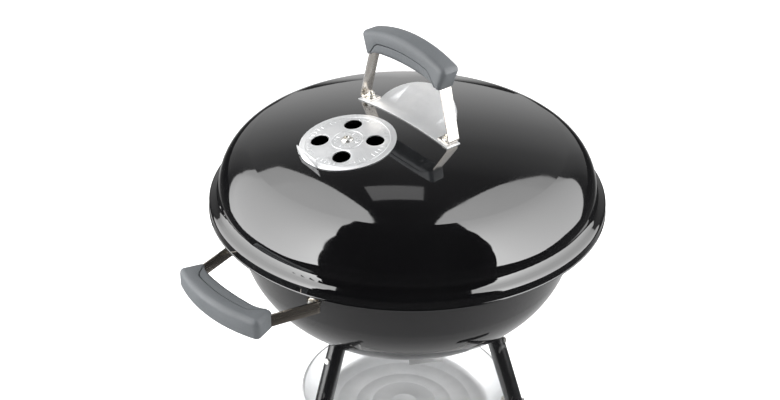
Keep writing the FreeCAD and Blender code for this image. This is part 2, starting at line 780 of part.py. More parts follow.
LEG_AZIMUTHS = {"plain": 180, "left": 60, "right": -60}
VENT_AZIMUTHS = [120, 0, 240]

bowl_skin = feature("bowl_skin", spun(band(bowl_steps, -WALL)))
bead = primitive("Torus", "bowl_bead", Placement(Vector(0, 0, BEAD.z), Rotation()),
                 Radius2="dim.bead_radius")
bead.Radius1 = BEAD.x
bowl_cuts = list(bowl_handle.holes)
bowl_rivets = []
for number, azimuth in enumerate(VENT_AZIMUTHS, 1):
    point, normal = under_bowl(cell("bowl_vent_offset"), azimuth)
    place = frame(point, normal, polar(1, azimuth))
    name = f"bowl_damper_{number}"
    damper(name, BOWL_CROWN, place, "dim.bowl_damper_radius", "dim.bowl_vent_pitch_radius",
           "dim.bowl_vent_hole_radius", BOWL_VENTS)
    bowl_cuts += vent_holes(f"bowl_vent_{number}", place, "dim.bowl_vent_pitch_radius",
                            "dim.bowl_vent_hole_radius - dim.moving_gap", BOWL_VENTS)
    bowl_cuts.append(rivet_hole("bowl_rivet_hole", place))
    bowl_rivets.append(rivet(f"bowl_rivet_{number}", place))
cut("bowl_shell", fused("bowl_blank", [bowl_skin, bead]), bowl_cuts)
group("bowl_damper_rivets", bowl_rivets)


# ---------------------------------------------------------------- grates

inside_bowl = feature("inside_bowl", filled(BOWL_INSIDE))


def grate(label, radius, top, wire, pitch):
    """A ring of wire with straight bars across it and two rods under the bars."""
    ring_wire = cell("grate_ring_wire")
    level = LIP - cell(top) - value(wire)
    ring = primitive("Torus", label + "_ring", Placement(Vector(0, 0, level), Rotation()),
                     Radius1=f"{radius} - dim.grate_ring_wire", Radius2="dim.grate_ring_wire")
    inner = value(radius) - ring_wire
    pieces = [ring]
    gap = cell(pitch)
    count = int((inner - ring_wire) / gap)
    for i in range(-count, count + 1):
        pieces.append(bar(label, i * gap, inner, level, wire, Vector(1, 0, 0)))
    for side in (-1, 1):
        rod = bar(label, side * inner / 2, inner, level - 1.5 * value(wire), wire, Vector(0, 1, 0))
        pieces.append(rod)
    return fused(label, pieces)


def bar(label, offset, reach, level, wire, along):
    """One straight wire across a ring, offset from its middle."""
    half = math.sqrt(reach ** 2 - offset ** 2)
    start = along.cross(UP) * offset - along * half + UP * level
    made = primitive("Cylinder", label + "_bar", frame(start, along, UP), Radius=wire)
    made.Height = 2 * half
    return made


def ledges(label, grate_top, grate_wire, grate_radius):
    """Four ledges welded to the bowl's inside, that a grate's ring rests on."""
    level = (LIP - cell(grate_top) - value(grate_wire) - cell("grate_ring_wire") - SEAT)
    made = []
    for azimuth in (45, 135, 225, 315):
        turn = Rotation(UP, azimuth)
        blank = primitive("Box", label + "_blank", None, Length="dim.lid_radius / 4",
                          Width="dim.strap_width", Height="dim.strap_thickness")
        corner = Vector(value(grate_radius) - cell("ledge_reach"), -cell("strap_width") / 2,
                        level - cell("strap_thickness"))
        blank.Placement = Placement(turn.multVec(corner), turn)
        trimmed = doc.addObject("Part::Common", label + "_ledge")
        trimmed.Base = blank
        trimmed.Tool = inside_bowl
        made.append(trimmed)
    group(label, made)


grate("cooking_grate", "dim.cooking_grate_radius", "cooking_grate_drop", "dim.cooking_wire",
      "cooking_wire_pitch")
grate("charcoal_grate", "dim.charcoal_grate_radius", "charcoal_grate_drop",
      "dim.charcoal_wire", "charcoal_wire_pitch")
ledges("cooking_grate_ledges", "cooking_grate_drop", "dim.cooking_wire",
       "dim.cooking_grate_radius")
ledges("charcoal_grate_ledges", "charcoal_grate_drop", "dim.charcoal_wire",
       "dim.charcoal_grate_radius")


# ---------------------------------------------------------------- legs

LEAN = cell("leg_lean")
LEG_RADIUS = cell("leg_radius")


def leg_offset(z):
    """How far the leg's centre line is from the grill's axis at a height."""
    return cell("leg_offset") + tan(LEAN) * (LIP - cell("leg_offset_drop") - z)


def leg_frame(azimuth, z):
    """On the leg's centre line at a height, Z up the leg and X away from the axis."""
    point = polar(leg_offset(z), azimuth, z)
    up_leg = polar(-sin(LEAN), azimuth, cos(LEAN))
    return frame(point, up_leg, polar(1, azimuth))


half_drop = cell("leg_offset_drop") / 2
low_z = LIP - 3 * half_drop
high_z = LIP - half_drop
meeting = walk_point(BOWL_OUTSIDE, Part.makeLine(Vector(leg_offset(low_z), 0, low_z),
                                                 Vector(leg_offset(high_z), 0, high_z)))
LEG_TOP = meeting.z - cell("leg_top_gap") * cos(LEAN)
AXLE_HEIGHT = cell("wheel_radius")
PLAIN_END = (LEG_RADIUS + cell("foot_wall")) * sin(LEAN) + cell("foot_wall")
WHEEL_LEG_END = AXLE_HEIGHT - cell("leg_tail") * cos(LEAN)
AXLE_X = leg_offset(AXLE_HEIGHT) * cos(60)


def along_axle(y):
    """On the axle's centre line, Z along +Y."""
    return frame(Vector(AXLE_X, y, AXLE_HEIGHT), Vector(0, 1, 0), UP)


def leg(name, azimuth):
    end = PLAIN_END if name == "plain" else WHEEL_LEG_END
    length = (LEG_TOP - end) / cos(LEAN)
    place = leg_frame(azimuth, end)
    outside = primitive("Cylinder", f"leg_{name}_outside", place, Radius="dim.leg_radius")
    inside = primitive("Cylinder", f"leg_{name}_inside", place,
                       Radius="dim.leg_radius - dim.leg_wall")
    outside.Height = length
    inside.Height = length
    holes = [inside, screw_hole(name, azimuth)]
    if name != "plain":
        holes.append(cylinder(f"axle_hole_{name}", "dim.axle_radius + dim.running_gap",
                              "8 * dim.leg_radius", along_axle(
                                  leg_offset(AXLE_HEIGHT) * sin(azimuth) - 4 * LEG_RADIUS)))
    return cut(f"leg_{name}", outside, holes)


def screw_place(azimuth, out):
    """Through the leg into its stub, from outside; out is from the leg's centre line."""
    z = LEG_TOP - cell("stub_length") / 2
    leg_place = leg_frame(azimuth, z)
    sideways = leg_place.Rotation.multVec(Vector(1, 0, 0))
    return frame(leg_place.Base + sideways * out, sideways * -1, UP)


def screw_hole(name, azimuth):
    return cylinder(f"screw_hole_{name}", "dim.grip_screw_radius + dim.running_gap",
                    "dim.leg_radius", screw_place(azimuth, 1.2 * LEG_RADIUS))


def stub(name, azimuth):
    """A short tube welded under the bowl, inside the top of the leg."""
    place = leg_frame(azimuth, LEG_TOP - cell("stub_length") * cos(LEAN))
    outside = cylinder(f"stub_{name}_outside",
                       "dim.leg_radius - dim.leg_wall - dim.stub_fit_gap",
                       "dim.stub_length + 4 * dim.leg_top_gap", place)
    inside = cylinder(f"stub_{name}_inside",
                      "dim.leg_radius - 2 * dim.leg_wall - dim.stub_fit_gap",
                      "dim.stub_length + 4 * dim.leg_top_gap", place)
    return cut(f"leg_stub_{name}", outside, [inside, bowl_space, screw_hole(name, azimuth)])


def leg_screw(name, azimuth):
    shank = cylinder(f"leg_screw_shank_{name}", "dim.grip_screw_radius",
                     "dim.leg_radius * 0.5", screw_place(azimuth, LEG_RADIUS * 1.1))
    head = cylinder(f"leg_screw_head_{name}", "2 * dim.grip_screw_radius",
                    "dim.grip_screw_radius", screw_place(
                        azimuth, LEG_RADIUS + cell("running_gap") + cell("grip_screw_radius")))
    return fused(f"leg_screw_{name}", [shank, head])


def leg_plug(name, azimuth):
    """Closes a wheel leg's lower end."""
    stem = cylinder(f"plug_stem_{name}", "dim.leg_radius - dim.leg_wall - dim.stub_fit_gap",
                    "dim.leg_tail / 2", leg_frame(azimuth, WHEEL_LEG_END))
    head = cylinder(f"plug_head_{name}", "dim.leg_radius", "dim.plug_head",
                    leg_frame(azimuth, WHEEL_LEG_END - cell("plug_head") * cos(LEAN)))
    return fused(f"leg_plug_{name}", [stem, head])


for name, azimuth in LEG_AZIMUTHS.items():
    leg(name, azimuth)
    stub(name, azimuth)
group("leg_plugs", [leg_plug(name, LEG_AZIMUTHS[name]) for name in ("left", "right")])
group("leg_screws", [leg_screw(name, azimuth) for name, azimuth in LEG_AZIMUTHS.items()])

# The foot cap: a cup along the leg, cut off level with the floor.
foot_blank = cylinder("foot_blank", "dim.leg_radius + dim.stub_fit_gap + dim.foot_wall",
                      "2 * dim.foot_height",
                      leg_frame(LEG_AZIMUTHS["plain"], -cell("foot_height") * cos(LEAN)))
foot_bore = cylinder("foot_bore", "dim.leg_radius + dim.stub_fit_gap", "2 * dim.foot_height",
                     leg_frame(LEG_AZIMUTHS["plain"], PLAIN_END))
below_floor = primitive("Box", "below_floor", Placement(
    Vector(-2 * LIP, -LIP, -LIP), Rotation()), Length="4 * dim.lip_height",
    Width="2 * dim.lip_height", Height="dim.lip_height")
cut("leg_foot", foot_blank, [foot_bore, below_floor])


# ---------------------------------------------------------------- wheels and axle

HALF_WHEEL = cell("wheel_width") / 2
HUB_OVERHANG = cell("hub_overhang")
TUBE_ACROSS = LEG_RADIUS / cos(LEAN)
WHEEL_CLEARANCE = 6 * cell("moving_gap")
leg_side = leg_offset(WHEEL_LEG_END) * sin(60) + TUBE_ACROSS
WHEEL_MIDDLE = leg_side + WHEEL_CLEARANCE + HALF_WHEEL
HUB_END = WHEEL_MIDDLE + HALF_WHEEL + HUB_OVERHANG
spacer_tilt = cell("axle_spacer_radius") * tan(LEAN)
SPACER_START = leg_offset(AXLE_HEIGHT) * sin(60) + TUBE_ACROSS + spacer_tilt
SPACER_END = WHEEL_MIDDLE - HALF_WHEEL - HUB_OVERHANG - cell("moving_gap")

WHEEL_OUTLINE = [
    ("dim.axle_radius + dim.running_gap", "-dim.wheel_width / 2 - dim.hub_overhang"),
    ("dim.hub_radius", "-dim.wheel_width / 2 - dim.hub_overhang"),
    ("dim.hub_radius", "-dim.wheel_web / 2"),
    ("dim.wheel_dish_radius", "-dim.wheel_web / 2"),
    ("dim.wheel_rim_radius", "-dim.wheel_width / 2"),
    ("dim.wheel_radius - dim.tread_shoulder_height", "-dim.wheel_width / 2"),
    ("dim.wheel_radius", "-dim.wheel_width / 2 + dim.tread_shoulder_width"),
    ("dim.wheel_radius", "dim.wheel_width / 2 - dim.tread_shoulder_width"),
    ("dim.wheel_radius - dim.tread_shoulder_height", "dim.wheel_width / 2"),
    ("dim.wheel_rim_radius", "dim.wheel_width / 2"),
    ("dim.wheel_dish_radius", "dim.wheel_web / 2"),
    ("dim.hub_radius", "dim.wheel_web / 2"),
    ("dim.hub_radius", "dim.wheel_width / 2 + dim.hub_overhang"),
    ("dim.axle_radius + dim.running_gap", "dim.wheel_width / 2 + dim.hub_overhang"),
]
CAP_OUTLINE = [
    ("0", "dim.wheel_width / 2 + dim.hub_cap_rise"),
    ("dim.hub_cap_brow_radius",
     "dim.wheel_width / 2 + dim.hub_cap_rise - dim.hub_cap_crown"),
    ("dim.hub_cap_radius", "dim.wheel_width / 2 + dim.hub_cap_rise / 2"),
    ("dim.hub_cap_radius", "dim.wheel_web / 2 + dim.moving_gap"),
    ("dim.hub_radius + dim.running_gap", "dim.wheel_web / 2 + dim.moving_gap"),
    ("dim.hub_radius + dim.running_gap",
     "dim.wheel_width / 2 + dim.hub_cap_rise - dim.hub_cap_wall"),
    ("0", "dim.wheel_width / 2 + dim.hub_cap_rise - dim.hub_cap_wall"),
]


def along_side(side, start):
    """On the axle at a distance from the middle, Z away from the middle."""
    return frame(Vector(AXLE_X, side * start, AXLE_HEIGHT), Vector(0, side, 0), UP)


def ring_on_axle(label, radius, place, length):
    """A short tube on the axle."""
    outside = primitive("Cylinder", label + "_outside", place, Radius=radius)
    bore = primitive("Cylinder", label + "_bore", place,
                     Radius="dim.axle_radius + dim.running_gap / 2")
    outside.Height = length
    bore.Height = length
    return cut(label, outside, bore)


push_nuts = []
spacer_tubes = []
for name, side in (("left", 1), ("right", -1)):
    turned(f"wheel_{name}", WHEEL_OUTLINE, along_side(side, WHEEL_MIDDLE))
    turned(f"hub_cap_{name}", CAP_OUTLINE, along_side(side, WHEEL_MIDDLE))
    push_nuts.append(ring_on_axle(
        f"push_nut_{name}", "dim.push_nut_radius",
        along_side(side, HUB_END + cell("moving_gap")), cell("push_nut_thickness")))
    spacer_tubes.append(ring_on_axle(
        f"axle_spacer_{name}", "dim.axle_spacer_radius", along_side(side, SPACER_START),
        SPACER_END - SPACER_START))
group("axle_push_nuts", push_nuts)
group("axle_spacers", spacer_tubes)

axle_half = HUB_END + cell("moving_gap") + cell("push_nut_thickness") + cell("axle_end")
axle = primitive("Cylinder", "axle", along_axle(-axle_half), Radius="dim.axle_radius")
axle.Height = 2 * axle_half


# ---------------------------------------------------------------- ash pan

PAN_LEVEL = LIP - cell("pan_drop")
BRIM = cell("pan_brim_radius")


def pan_steps(inset):
    """From the brim down the side, across the floor and over the raised middle."""
    corner = cell("pan_corner_radius")
    step = cell("pan_step_radius")
    rise = cell("pan_step_angle")
    angle = cell("pan_side_angle")
    walk = Walk(cell("pan_radius"), PAN_LEVEL, 180 + angle, inset)
    walk.line((cell("pan_depth") - corner * (1 - cos(angle))) / sin(angle))
    walk.arc(corner, -angle)
    floor_radius = walk.at.x
    walk.line(floor_radius - cell("pan_boss_radius"))
    walk.arc(step, -rise)
    walk.line((cell("pan_boss_height") - 2 * step * (1 - cos(rise))) / sin(rise))
    walk.arc(step, rise)
    walk.line(walk.at.x)
    return walk


pan_skin = feature("pan_skin", spun(band(pan_steps, -cell("pan_wall"))))
brim = primitive("Torus", "pan_brim", Placement(Vector(0, 0, PAN_LEVEL), Rotation()),
                 Radius1="dim.pan_radius", Radius2="dim.pan_brim_radius")
fused("ash_pan", [pan_skin, brim])


def clip_steps(inset):
    """From inside the brim, over it, and straight out past the leg."""
    over = BRIM + cell("running_gap")
    walk = Walk(cell("pan_radius") - over, PAN_LEVEL, 90, inset)
    walk.arc(over, -90)
    walk.line(leg_offset(PAN_LEVEL) + cell("clip_reach") - cell("pan_radius"))
    return walk


def clip(azimuth):
    """A spring clip hooked over the brim, its two prongs either side of the leg."""
    spread = 2 * math.degrees(math.asin(cell("clip_width") / 2 / leg_offset(PAN_LEVEL)))
    face = band(clip_steps, cell("clip_thickness"))
    face.rotate(ORIGIN, UP, azimuth - spread / 2)
    blank = feature(f"clip_blank_{azimuth}", face.revolve(ORIGIN, UP, spread))
    place = leg_frame(azimuth, PAN_LEVEL - 2 * LEG_RADIUS)
    round_slot = cylinder("clip_slot", "dim.leg_radius + dim.seat_gap", "4 * dim.leg_radius",
                          place)
    way_out = primitive("Box", "clip_way_out", place.multiply(Placement(
        Vector(0, -LEG_RADIUS - SEAT, 0), Rotation())), Length="4 * dim.leg_radius",
        Width="2 * dim.leg_radius + 2 * dim.seat_gap", Height="4 * dim.leg_radius")
    return cut(f"clip_{azimuth}", blank, [round_slot, way_out])


group("ash_pan_clips", [clip(azimuth) for azimuth in (60, 180, 300)])


# ---------------------------------------------------------------- rack between the legs

RACK = cell("rack_height")
HOOP = LEG_RADIUS + cell("running_gap") + cell("rack_frame_wire")


def rack():
    """A triangle of wire with straight bars, and a hoop round each leg."""
    pieces = []
    wire = cell("rack_frame_wire")
    weld = 1.2
    inward = Vector(-HOOP - (weld - 1) * wire, 0, 0)
    corners = [leg_frame(azimuth, RACK).multVec(inward) for azimuth in LEG_AZIMUTHS.values()]
    level = corners[0].z
    corner_radius = math.hypot(corners[0].x, corners[0].y)
    for i, corner in enumerate(corners):
        pieces.append(rod_between("rack_side", corner, corners[(i + 1) % 3],
                                  "dim.rack_frame_wire"))
        pieces.append(primitive("Sphere", "rack_weld", Placement(corner, Rotation()),
                                Radius=f"dim.rack_frame_wire * {weld}"))
    for azimuth in LEG_AZIMUTHS.values():
        hoop = primitive("Torus", "rack_hoop", leg_frame(azimuth, RACK),
                         Radius2="dim.rack_frame_wire")
        hoop.Radius1 = HOOP
        pieces.append(hoop)
    front = corner_radius * cos(60)
    count = int((corner_radius + front - 2 * wire) / cell("rack_pitch"))
    for i in range(1, count):
        x = front - i * cell("rack_pitch")
        half = (corner_radius + x) * tan(30)
        pieces.append(rod_between("rack_bar", Vector(x, -half, level), Vector(x, half, level),
                                  "dim.rack_wire"))
    return fused("lower_rack", pieces)


def rod_between(label, start, end, radius):
    made = primitive("Cylinder", label, frame(start, end - start, UP), Radius=radius)
    made.Height = (end - start).Length
    return made


rack()


# ---------------------------------------------------------------- check and write

NODES = [
    "lid_shell", "lid_handle_strap", "lid_grip_outer", "lid_grip_inner", "lid_grip_screws",
    "lid_heat_shield", "lid_handle_bolts", "lid_handle_nuts", "lid_damper",
    "lid_damper_rivet", "bowl_shell", "bowl_handle_strap", "bowl_grip_outer",
    "bowl_grip_inner", "bowl_grip_screws", "bowl_handle_bolts", "bowl_handle_nuts",
    "bowl_handle_spacers", "bowl_damper_1", "bowl_damper_2", "bowl_damper_3",
    "bowl_damper_rivets", "cooking_grate", "charcoal_grate", "cooking_grate_ledges",
    "charcoal_grate_ledges", "leg_plain", "leg_left", "leg_right", "leg_stub_plain",
    "leg_stub_left", "leg_stub_right", "leg_screws", "leg_foot", "leg_plugs", "axle", "axle_spacers",
    "axle_push_nuts", "wheel_left", "wheel_right", "hub_cap_left", "hub_cap_right",
    "ash_pan", "ash_pan_clips", "lower_rack",
]

doc.recompute()
for item in doc.Objects:
    if "Invalid" in item.State or "Error" in item.State:
        raise RuntimeError(f"{item.Label} failed: {item.State}")

os.makedirs("parts", exist_ok=True)
for label in NODES:
    shape = doc.getObjectsByLabel(label)[0].Shape
    if shape.isNull() or not shape.isValid() or not shape.Solids:
        raise RuntimeError(f"{label} is not a valid solid")
    shape.exportStep(f"parts/{label}.step")
    print(f"{label}: {len(shape.Solids)} solid(s), {shape.Volume / 1000:.1f} cm3")
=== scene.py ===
import json
import math

import bmesh
import bpy
from mathutils import Matrix, Vector

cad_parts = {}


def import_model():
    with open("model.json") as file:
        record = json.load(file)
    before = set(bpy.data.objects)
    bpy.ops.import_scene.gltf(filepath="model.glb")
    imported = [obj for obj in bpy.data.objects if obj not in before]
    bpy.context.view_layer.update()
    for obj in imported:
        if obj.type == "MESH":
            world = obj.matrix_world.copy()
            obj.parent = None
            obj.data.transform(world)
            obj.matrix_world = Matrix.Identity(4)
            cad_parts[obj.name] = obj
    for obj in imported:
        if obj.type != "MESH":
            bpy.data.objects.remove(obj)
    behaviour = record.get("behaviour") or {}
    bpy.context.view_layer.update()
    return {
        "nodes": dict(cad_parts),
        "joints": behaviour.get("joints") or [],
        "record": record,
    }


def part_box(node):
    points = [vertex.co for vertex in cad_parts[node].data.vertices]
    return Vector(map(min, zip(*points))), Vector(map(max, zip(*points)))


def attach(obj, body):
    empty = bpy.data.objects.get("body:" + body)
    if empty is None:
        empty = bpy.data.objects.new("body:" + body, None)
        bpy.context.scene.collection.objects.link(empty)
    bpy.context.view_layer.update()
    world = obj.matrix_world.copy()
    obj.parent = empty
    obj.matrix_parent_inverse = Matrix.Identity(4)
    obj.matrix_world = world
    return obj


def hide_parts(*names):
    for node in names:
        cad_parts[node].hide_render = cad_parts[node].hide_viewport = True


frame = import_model()
NODES = frame["nodes"]

MM = 0.001
LIP = 0.680                      # height of the lid's edge
UP = Vector((0, 0, 1))


# ---------------------------------------------------------------- shader helpers


def add(tree, kind, settings=None, **inputs):
    """Adds a node; settings are its own properties, inputs its sockets' constants."""
    made = tree.nodes.new(kind)
    for name, setting in (settings or {}).items():
        setattr(made, name, setting)
    for name, constant in inputs.items():
        made.inputs[name.replace("_", " ")].default_value = constant
    return made


def ramp(tree, factor, stops):
    """A colour ramp on a factor socket; stops are (place, grey or colour)."""
    made = tree.nodes.new("ShaderNodeValToRGB")
    elements = made.color_ramp.elements
    while len(elements) < len(stops):
        elements.new(0.5)
    for element, (place, colour) in zip(elements, stops):
        element.position = place
        if isinstance(colour, (int, float)):
            colour = (colour, colour, colour)
        element.color = (*colour, 1)
    tree.links.new(factor, made.inputs["Fac"])
    return made.outputs["Color"]


def spread(tree, factor, low, high):
    """Maps a 0 to 1 socket to the range low to high."""
    made = add(tree, "ShaderNodeMapRange")
    made.inputs["To Min"].default_value = low
    made.inputs["To Max"].default_value = high
    tree.links.new(factor, made.inputs["Value"])
    return made.outputs["Result"]


def effect(name, inputs, outputs):
    """A node group with named sockets; returns its tree, its input and output nodes."""
    tree = bpy.data.node_groups.new(name, "ShaderNodeTree")
    tree.interface.new_socket("Vector", in_out="INPUT", socket_type="NodeSocketVector")
    for label, constant in inputs.items():
        socket = tree.interface.new_socket(label, in_out="INPUT", socket_type="NodeSocketFloat")
        socket.default_value = constant
    for label in outputs:
        tree.interface.new_socket(label, in_out="OUTPUT", socket_type="NodeSocketFloat")
    return tree, tree.nodes.new("NodeGroupInput"), tree.nodes.new("NodeGroupOutput")


def noise_in(tree, source, scale_socket, detail, roughness=0.5, vector=None):
    made = add(tree, "ShaderNodeTexNoise", Detail=detail, Roughness=roughness)
    tree.links.new(vector or source.outputs["Vector"], made.inputs["Vector"])
    tree.links.new(scale_socket, made.inputs["Scale"])
    return made.outputs["Fac"]


def blend_values(tree, factor, first, second):
    made = add(tree, "ShaderNodeMix", {"data_type": "FLOAT"})
    made.inputs[0].default_value = factor
    tree.links.new(first, made.inputs[2])
    tree.links.new(second, made.inputs[3])
    return made.outputs[0]


def fine_texture():
    """Small grains on larger patches, as on moulded plastic or fired enamel."""
    tree, given, made = effect("fine texture", {"Scale": 800.0, "Patches": 30.0},
                               ["Height", "Patch"])
    grains = noise_in(tree, given, given.outputs["Scale"], 3.0)
    patches = noise_in(tree, given, given.outputs["Patches"], 4.0, 0.6)
    tree.links.new(blend_values(tree, 0.25, grains, patches), made.inputs["Height"])
    tree.links.new(patches, made.inputs["Patch"])
    return tree


def brushed_lines():
    """Fine lines drawn out along the axes in which the vector is kept small."""
    tree, given, made = effect("brushed lines", {"Scale": 1.0, "Patches": 14.0},
                               ["Height", "Patch"])
    fine = noise_in(tree, given, given.outputs["Scale"], 5.0, 0.7)
    patches = noise_in(tree, given, given.outputs["Patches"], 3.0, 0.55)
    tree.links.new(fine, made.inputs["Height"])
    tree.links.new(patches, made.inputs["Patch"])
    return tree


def hand_marks():
    """Faint smears and dust: where a gloss surface is a little less glossy."""
    tree, given, made = effect("hand marks", {"Scale": 9.0, "Specks": 700.0},
                               ["Smear", "Speck"])
    warp = noise_in(tree, given, given.outputs["Scale"], 5.0, 0.62)
    smear = add(tree, "ShaderNodeMapRange", From_Min=0.48, From_Max=0.72)
    tree.links.new(warp, smear.inputs["Value"])
    dots = tree.nodes.new("ShaderNodeTexVoronoi")
    tree.links.new(given.outputs["Vector"], dots.inputs["Vector"])
    tree.links.new(given.outputs["Specks"], dots.inputs["Scale"])
    speck = add(tree, "ShaderNodeMapRange", From_Min=0.09, From_Max=0.04)
    tree.links.new(dots.outputs["Distance"], speck.inputs["Value"])
    tree.links.new(smear.outputs["Result"], made.inputs["Smear"])
    tree.links.new(speck.outputs["Result"], made.inputs["Speck"])
    return tree


def scratches():
    """Thin short scratches in two directions."""
    tree, given, made = effect("scratches", {"Scale": 60.0}, ["Line"])
    lines = []
    for turn, stretch in ((0.6, (9, 0.35, 1)), (-1.1, (0.3, 8, 1))):
        place = add(tree, "ShaderNodeMapping", Rotation=(turn, turn / 2, turn), Scale=stretch)
        tree.links.new(given.outputs["Vector"], place.inputs["Vector"])
        fac = noise_in(tree, given, given.outputs["Scale"], 1.0, 0.4, place.outputs["Vector"])
        line = add(tree, "ShaderNodeMapRange", From_Min=0.73, From_Max=0.79)
        tree.links.new(fac, line.inputs["Value"])
        lines.append(line.outputs["Result"])
    most = add(tree, "ShaderNodeMath", {"operation": "MAXIMUM"})
    tree.links.new(lines[0], most.inputs[0])
    tree.links.new(lines[1], most.inputs[1])
    tree.links.new(most.outputs[0], made.inputs["Line"])
    return tree


FINE_TEXTURE = fine_texture()
BRUSHED_LINES = brushed_lines()
HAND_MARKS = hand_marks()
SCRATCHES = scratches()


class Finish:
    """One material: a Principled shader fed by Object coordinates."""

    def __init__(self, name, **constants):
        self.material = bpy.data.materials.new(name)
        self.material.use_nodes = True
        self.tree = self.material.node_tree
        self.shader = self.tree.nodes["Principled BSDF"]
        for label, constant in constants.items():
            self.shader.inputs[label.replace("_", " ")].default_value = constant
        self.place = add(self.tree, "ShaderNodeTexCoord").outputs["Object"]
        self.bumps = None

    def mapped(self, location=(0, 0, 0), rotation=(0, 0, 0), scale=(1, 1, 1)):
        made = add(self.tree, "ShaderNodeMapping", {"vector_type": "TEXTURE"},
                   Location=location, Rotation=rotation)
        made.inputs["Scale"].default_value = scale
        self.tree.links.new(self.place, made.inputs["Vector"])
        return made.outputs["Vector"]

    def use(self, group, vector=None, **values):
        made = self.tree.nodes.new("ShaderNodeGroup")
        made.node_tree = group
        self.tree.links.new(vector or self.place, made.inputs["Vector"])
        for label, constant in values.items():
            made.inputs[label].default_value = constant
        return made.outputs

    def feed(self, label, socket):
        self.tree.links.new(socket, self.shader.inputs[label])

    def rough(self, factor, low, high):
        self.feed("Roughness", spread(self.tree, factor, low, high))

    def colour(self, factor, stops):
        self.feed("Base Color", ramp(self.tree, factor, stops))

    def bump(self, height, strength, distance):
        made = add(self.tree, "ShaderNodeBump", Strength=strength, Distance=distance)
        self.tree.links.new(height, made.inputs["Height"])
        if self.bumps:
            self.tree.links.new(self.bumps, made.inputs["Normal"])
        self.bumps = made.outputs["Normal"]
        self.feed("Normal", self.bumps)

    def rings(self, vector, per_metre, distortion=0.0):
        """Circles about the vector's Z axis."""
        made = add(self.tree, "ShaderNodeTexWave",
                   {"wave_type": "RINGS", "rings_direction": "Z"}, Scale=per_metre,
                   Distortion=distortion, Detail=1.0)
        self.tree.links.new(vector, made.inputs["Vector"])
        return made.outputs["Fac"]


# ---------------------------------------------------------------- finishes


def enamel(name, wave=0.05):
    """Black porcelain enamel: a deep gloss with faint waves and hand marks."""
    look = Finish(name, IOR=1.95, Specular_IOR_Level=0.5)
    skin = look.use(FINE_TEXTURE, Scale=55.0, Patches=7.0)
    marks = look.use(HAND_MARKS)
    look.colour(skin["Patch"], [(0.3, (0.0035, 0.0035, 0.004)), (0.7, (0.006, 0.006, 0.0065))])
    look.rough(marks["Smear"], 0.035, 0.085)
    look.bump(skin["Height"], wave, 0.0004)
    look.bump(marks["Speck"], 0.08, 0.0001)
    return look.material


def leg_gloss():
    look = Finish("black leg enamel", IOR=1.75)
    skin = look.use(FINE_TEXTURE, Scale=900.0, Patches=18.0)
    marks = look.use(SCRATCHES, Scale=45.0)
    look.colour(marks["Line"], [(0.0, (0.008, 0.008, 0.009)), (1.0, (0.06, 0.06, 0.06))])
    look.rough(skin["Patch"], 0.10, 0.30)
    look.bump(skin["Height"], 0.10, 0.0002)
    return look.material


def bright_steel(name, across, tint=(0.60, 0.585, 0.565)):
    """Bright strap steel, brushed along its length; across names its width's axis."""
    look = Finish(name, Metallic=1.0)
    stretch = {"X": (0.0005, 0.06, 0.06), "Z": (0.06, 0.06, 0.0005)}[across]
    lines = look.use(BRUSHED_LINES, look.mapped(scale=stretch), Scale=1.0, Patches=1.4)
    marks = look.use(SCRATCHES, Scale=80.0)
    warm = tuple(part * factor for part, factor in zip(tint, (0.88, 0.82, 0.76)))
    look.colour(lines["Patch"], [(0.35, warm), (0.62, tint)])
    look.rough(lines["Height"], 0.13, 0.36)
    look.bump(lines["Height"], 0.12, 0.00015)
    look.bump(marks["Line"], 0.25, 0.00008)
    return look.material


def sheet_aluminium(name, low=0.26, high=0.50):
    """Pressed bright sheet with soft waves."""
    look = Finish(name, Metallic=0.78)
    lines = look.use(BRUSHED_LINES, look.mapped(scale=(0.004, 0.09, 0.09)), Scale=1.2,
                     Patches=2.0)
    soft = look.use(FINE_TEXTURE, Scale=42.0, Patches=13.0)
    marks = look.use(SCRATCHES, Scale=40.0)
    look.colour(soft["Patch"], [(0.3, (0.78, 0.79, 0.80)), (0.7, (0.93, 0.93, 0.93))])
    look.rough(lines["Height"], low, high)
    look.bump(soft["Height"], 0.30, 0.002)
    look.bump(marks["Line"], 0.30, 0.0001)
    return look.material


def spun_aluminium(name, centre=(0, 0, 0), turn=(0, 0, 0), per_metre=300.0):
    """Sheet finished on a lathe: fine circles about a centre."""
    look = Finish(name, Metallic=0.72)
    middle = look.mapped(location=centre, rotation=turn)
    circles = look.rings(middle, per_metre, 1.2)
    soft = look.use(FINE_TEXTURE, Scale=65.0, Patches=16.0)
    marks = look.use(SCRATCHES, Scale=55.0)
    look.colour(soft["Patch"], [(0.3, (0.74, 0.75, 0.76)), (0.7, (0.88, 0.885, 0.89))])
    look.rough(circles, 0.32, 0.44)
    look.bump(circles, 0.10, 0.00008)
    look.bump(soft["Height"], 0.12, 0.0008)
    look.bump(marks["Line"], 0.3, 0.0001)
    return look.material


def zinc(name, tint=(0.63, 0.64, 0.65)):
    """Zinc plate: slightly yellow in patches, with a fine crystal grain."""
    look = Finish(name, Metallic=1.0)
    grain = look.use(FINE_TEXTURE, Scale=1500.0, Patches=160.0)
    warm = tuple(part * factor for part, factor in zip(tint, (0.92, 0.86, 0.74)))
    look.colour(grain["Patch"], [(0.35, warm), (0.65, tint)])
    look.rough(grain["Patch"], 0.20, 0.42)
    look.bump(grain["Height"], 0.2, 0.0001)
    return look.material


def plated_wire(name):
    """Bright plating, warmer in patches and smeared by hands."""
    look = Finish(name, Metallic=1.0)
    tone = look.use(FINE_TEXTURE, Scale=380.0, Patches=24.0)
    marks = look.use(HAND_MARKS, Scale=35.0)
    look.colour(tone["Patch"], [(0.3, (0.52, 0.51, 0.49)), (0.6, (0.74, 0.74, 0.73))])
    look.rough(marks["Smear"], 0.14, 0.40)
    look.bump(tone["Height"], 0.15, 0.0001)
    return look.material


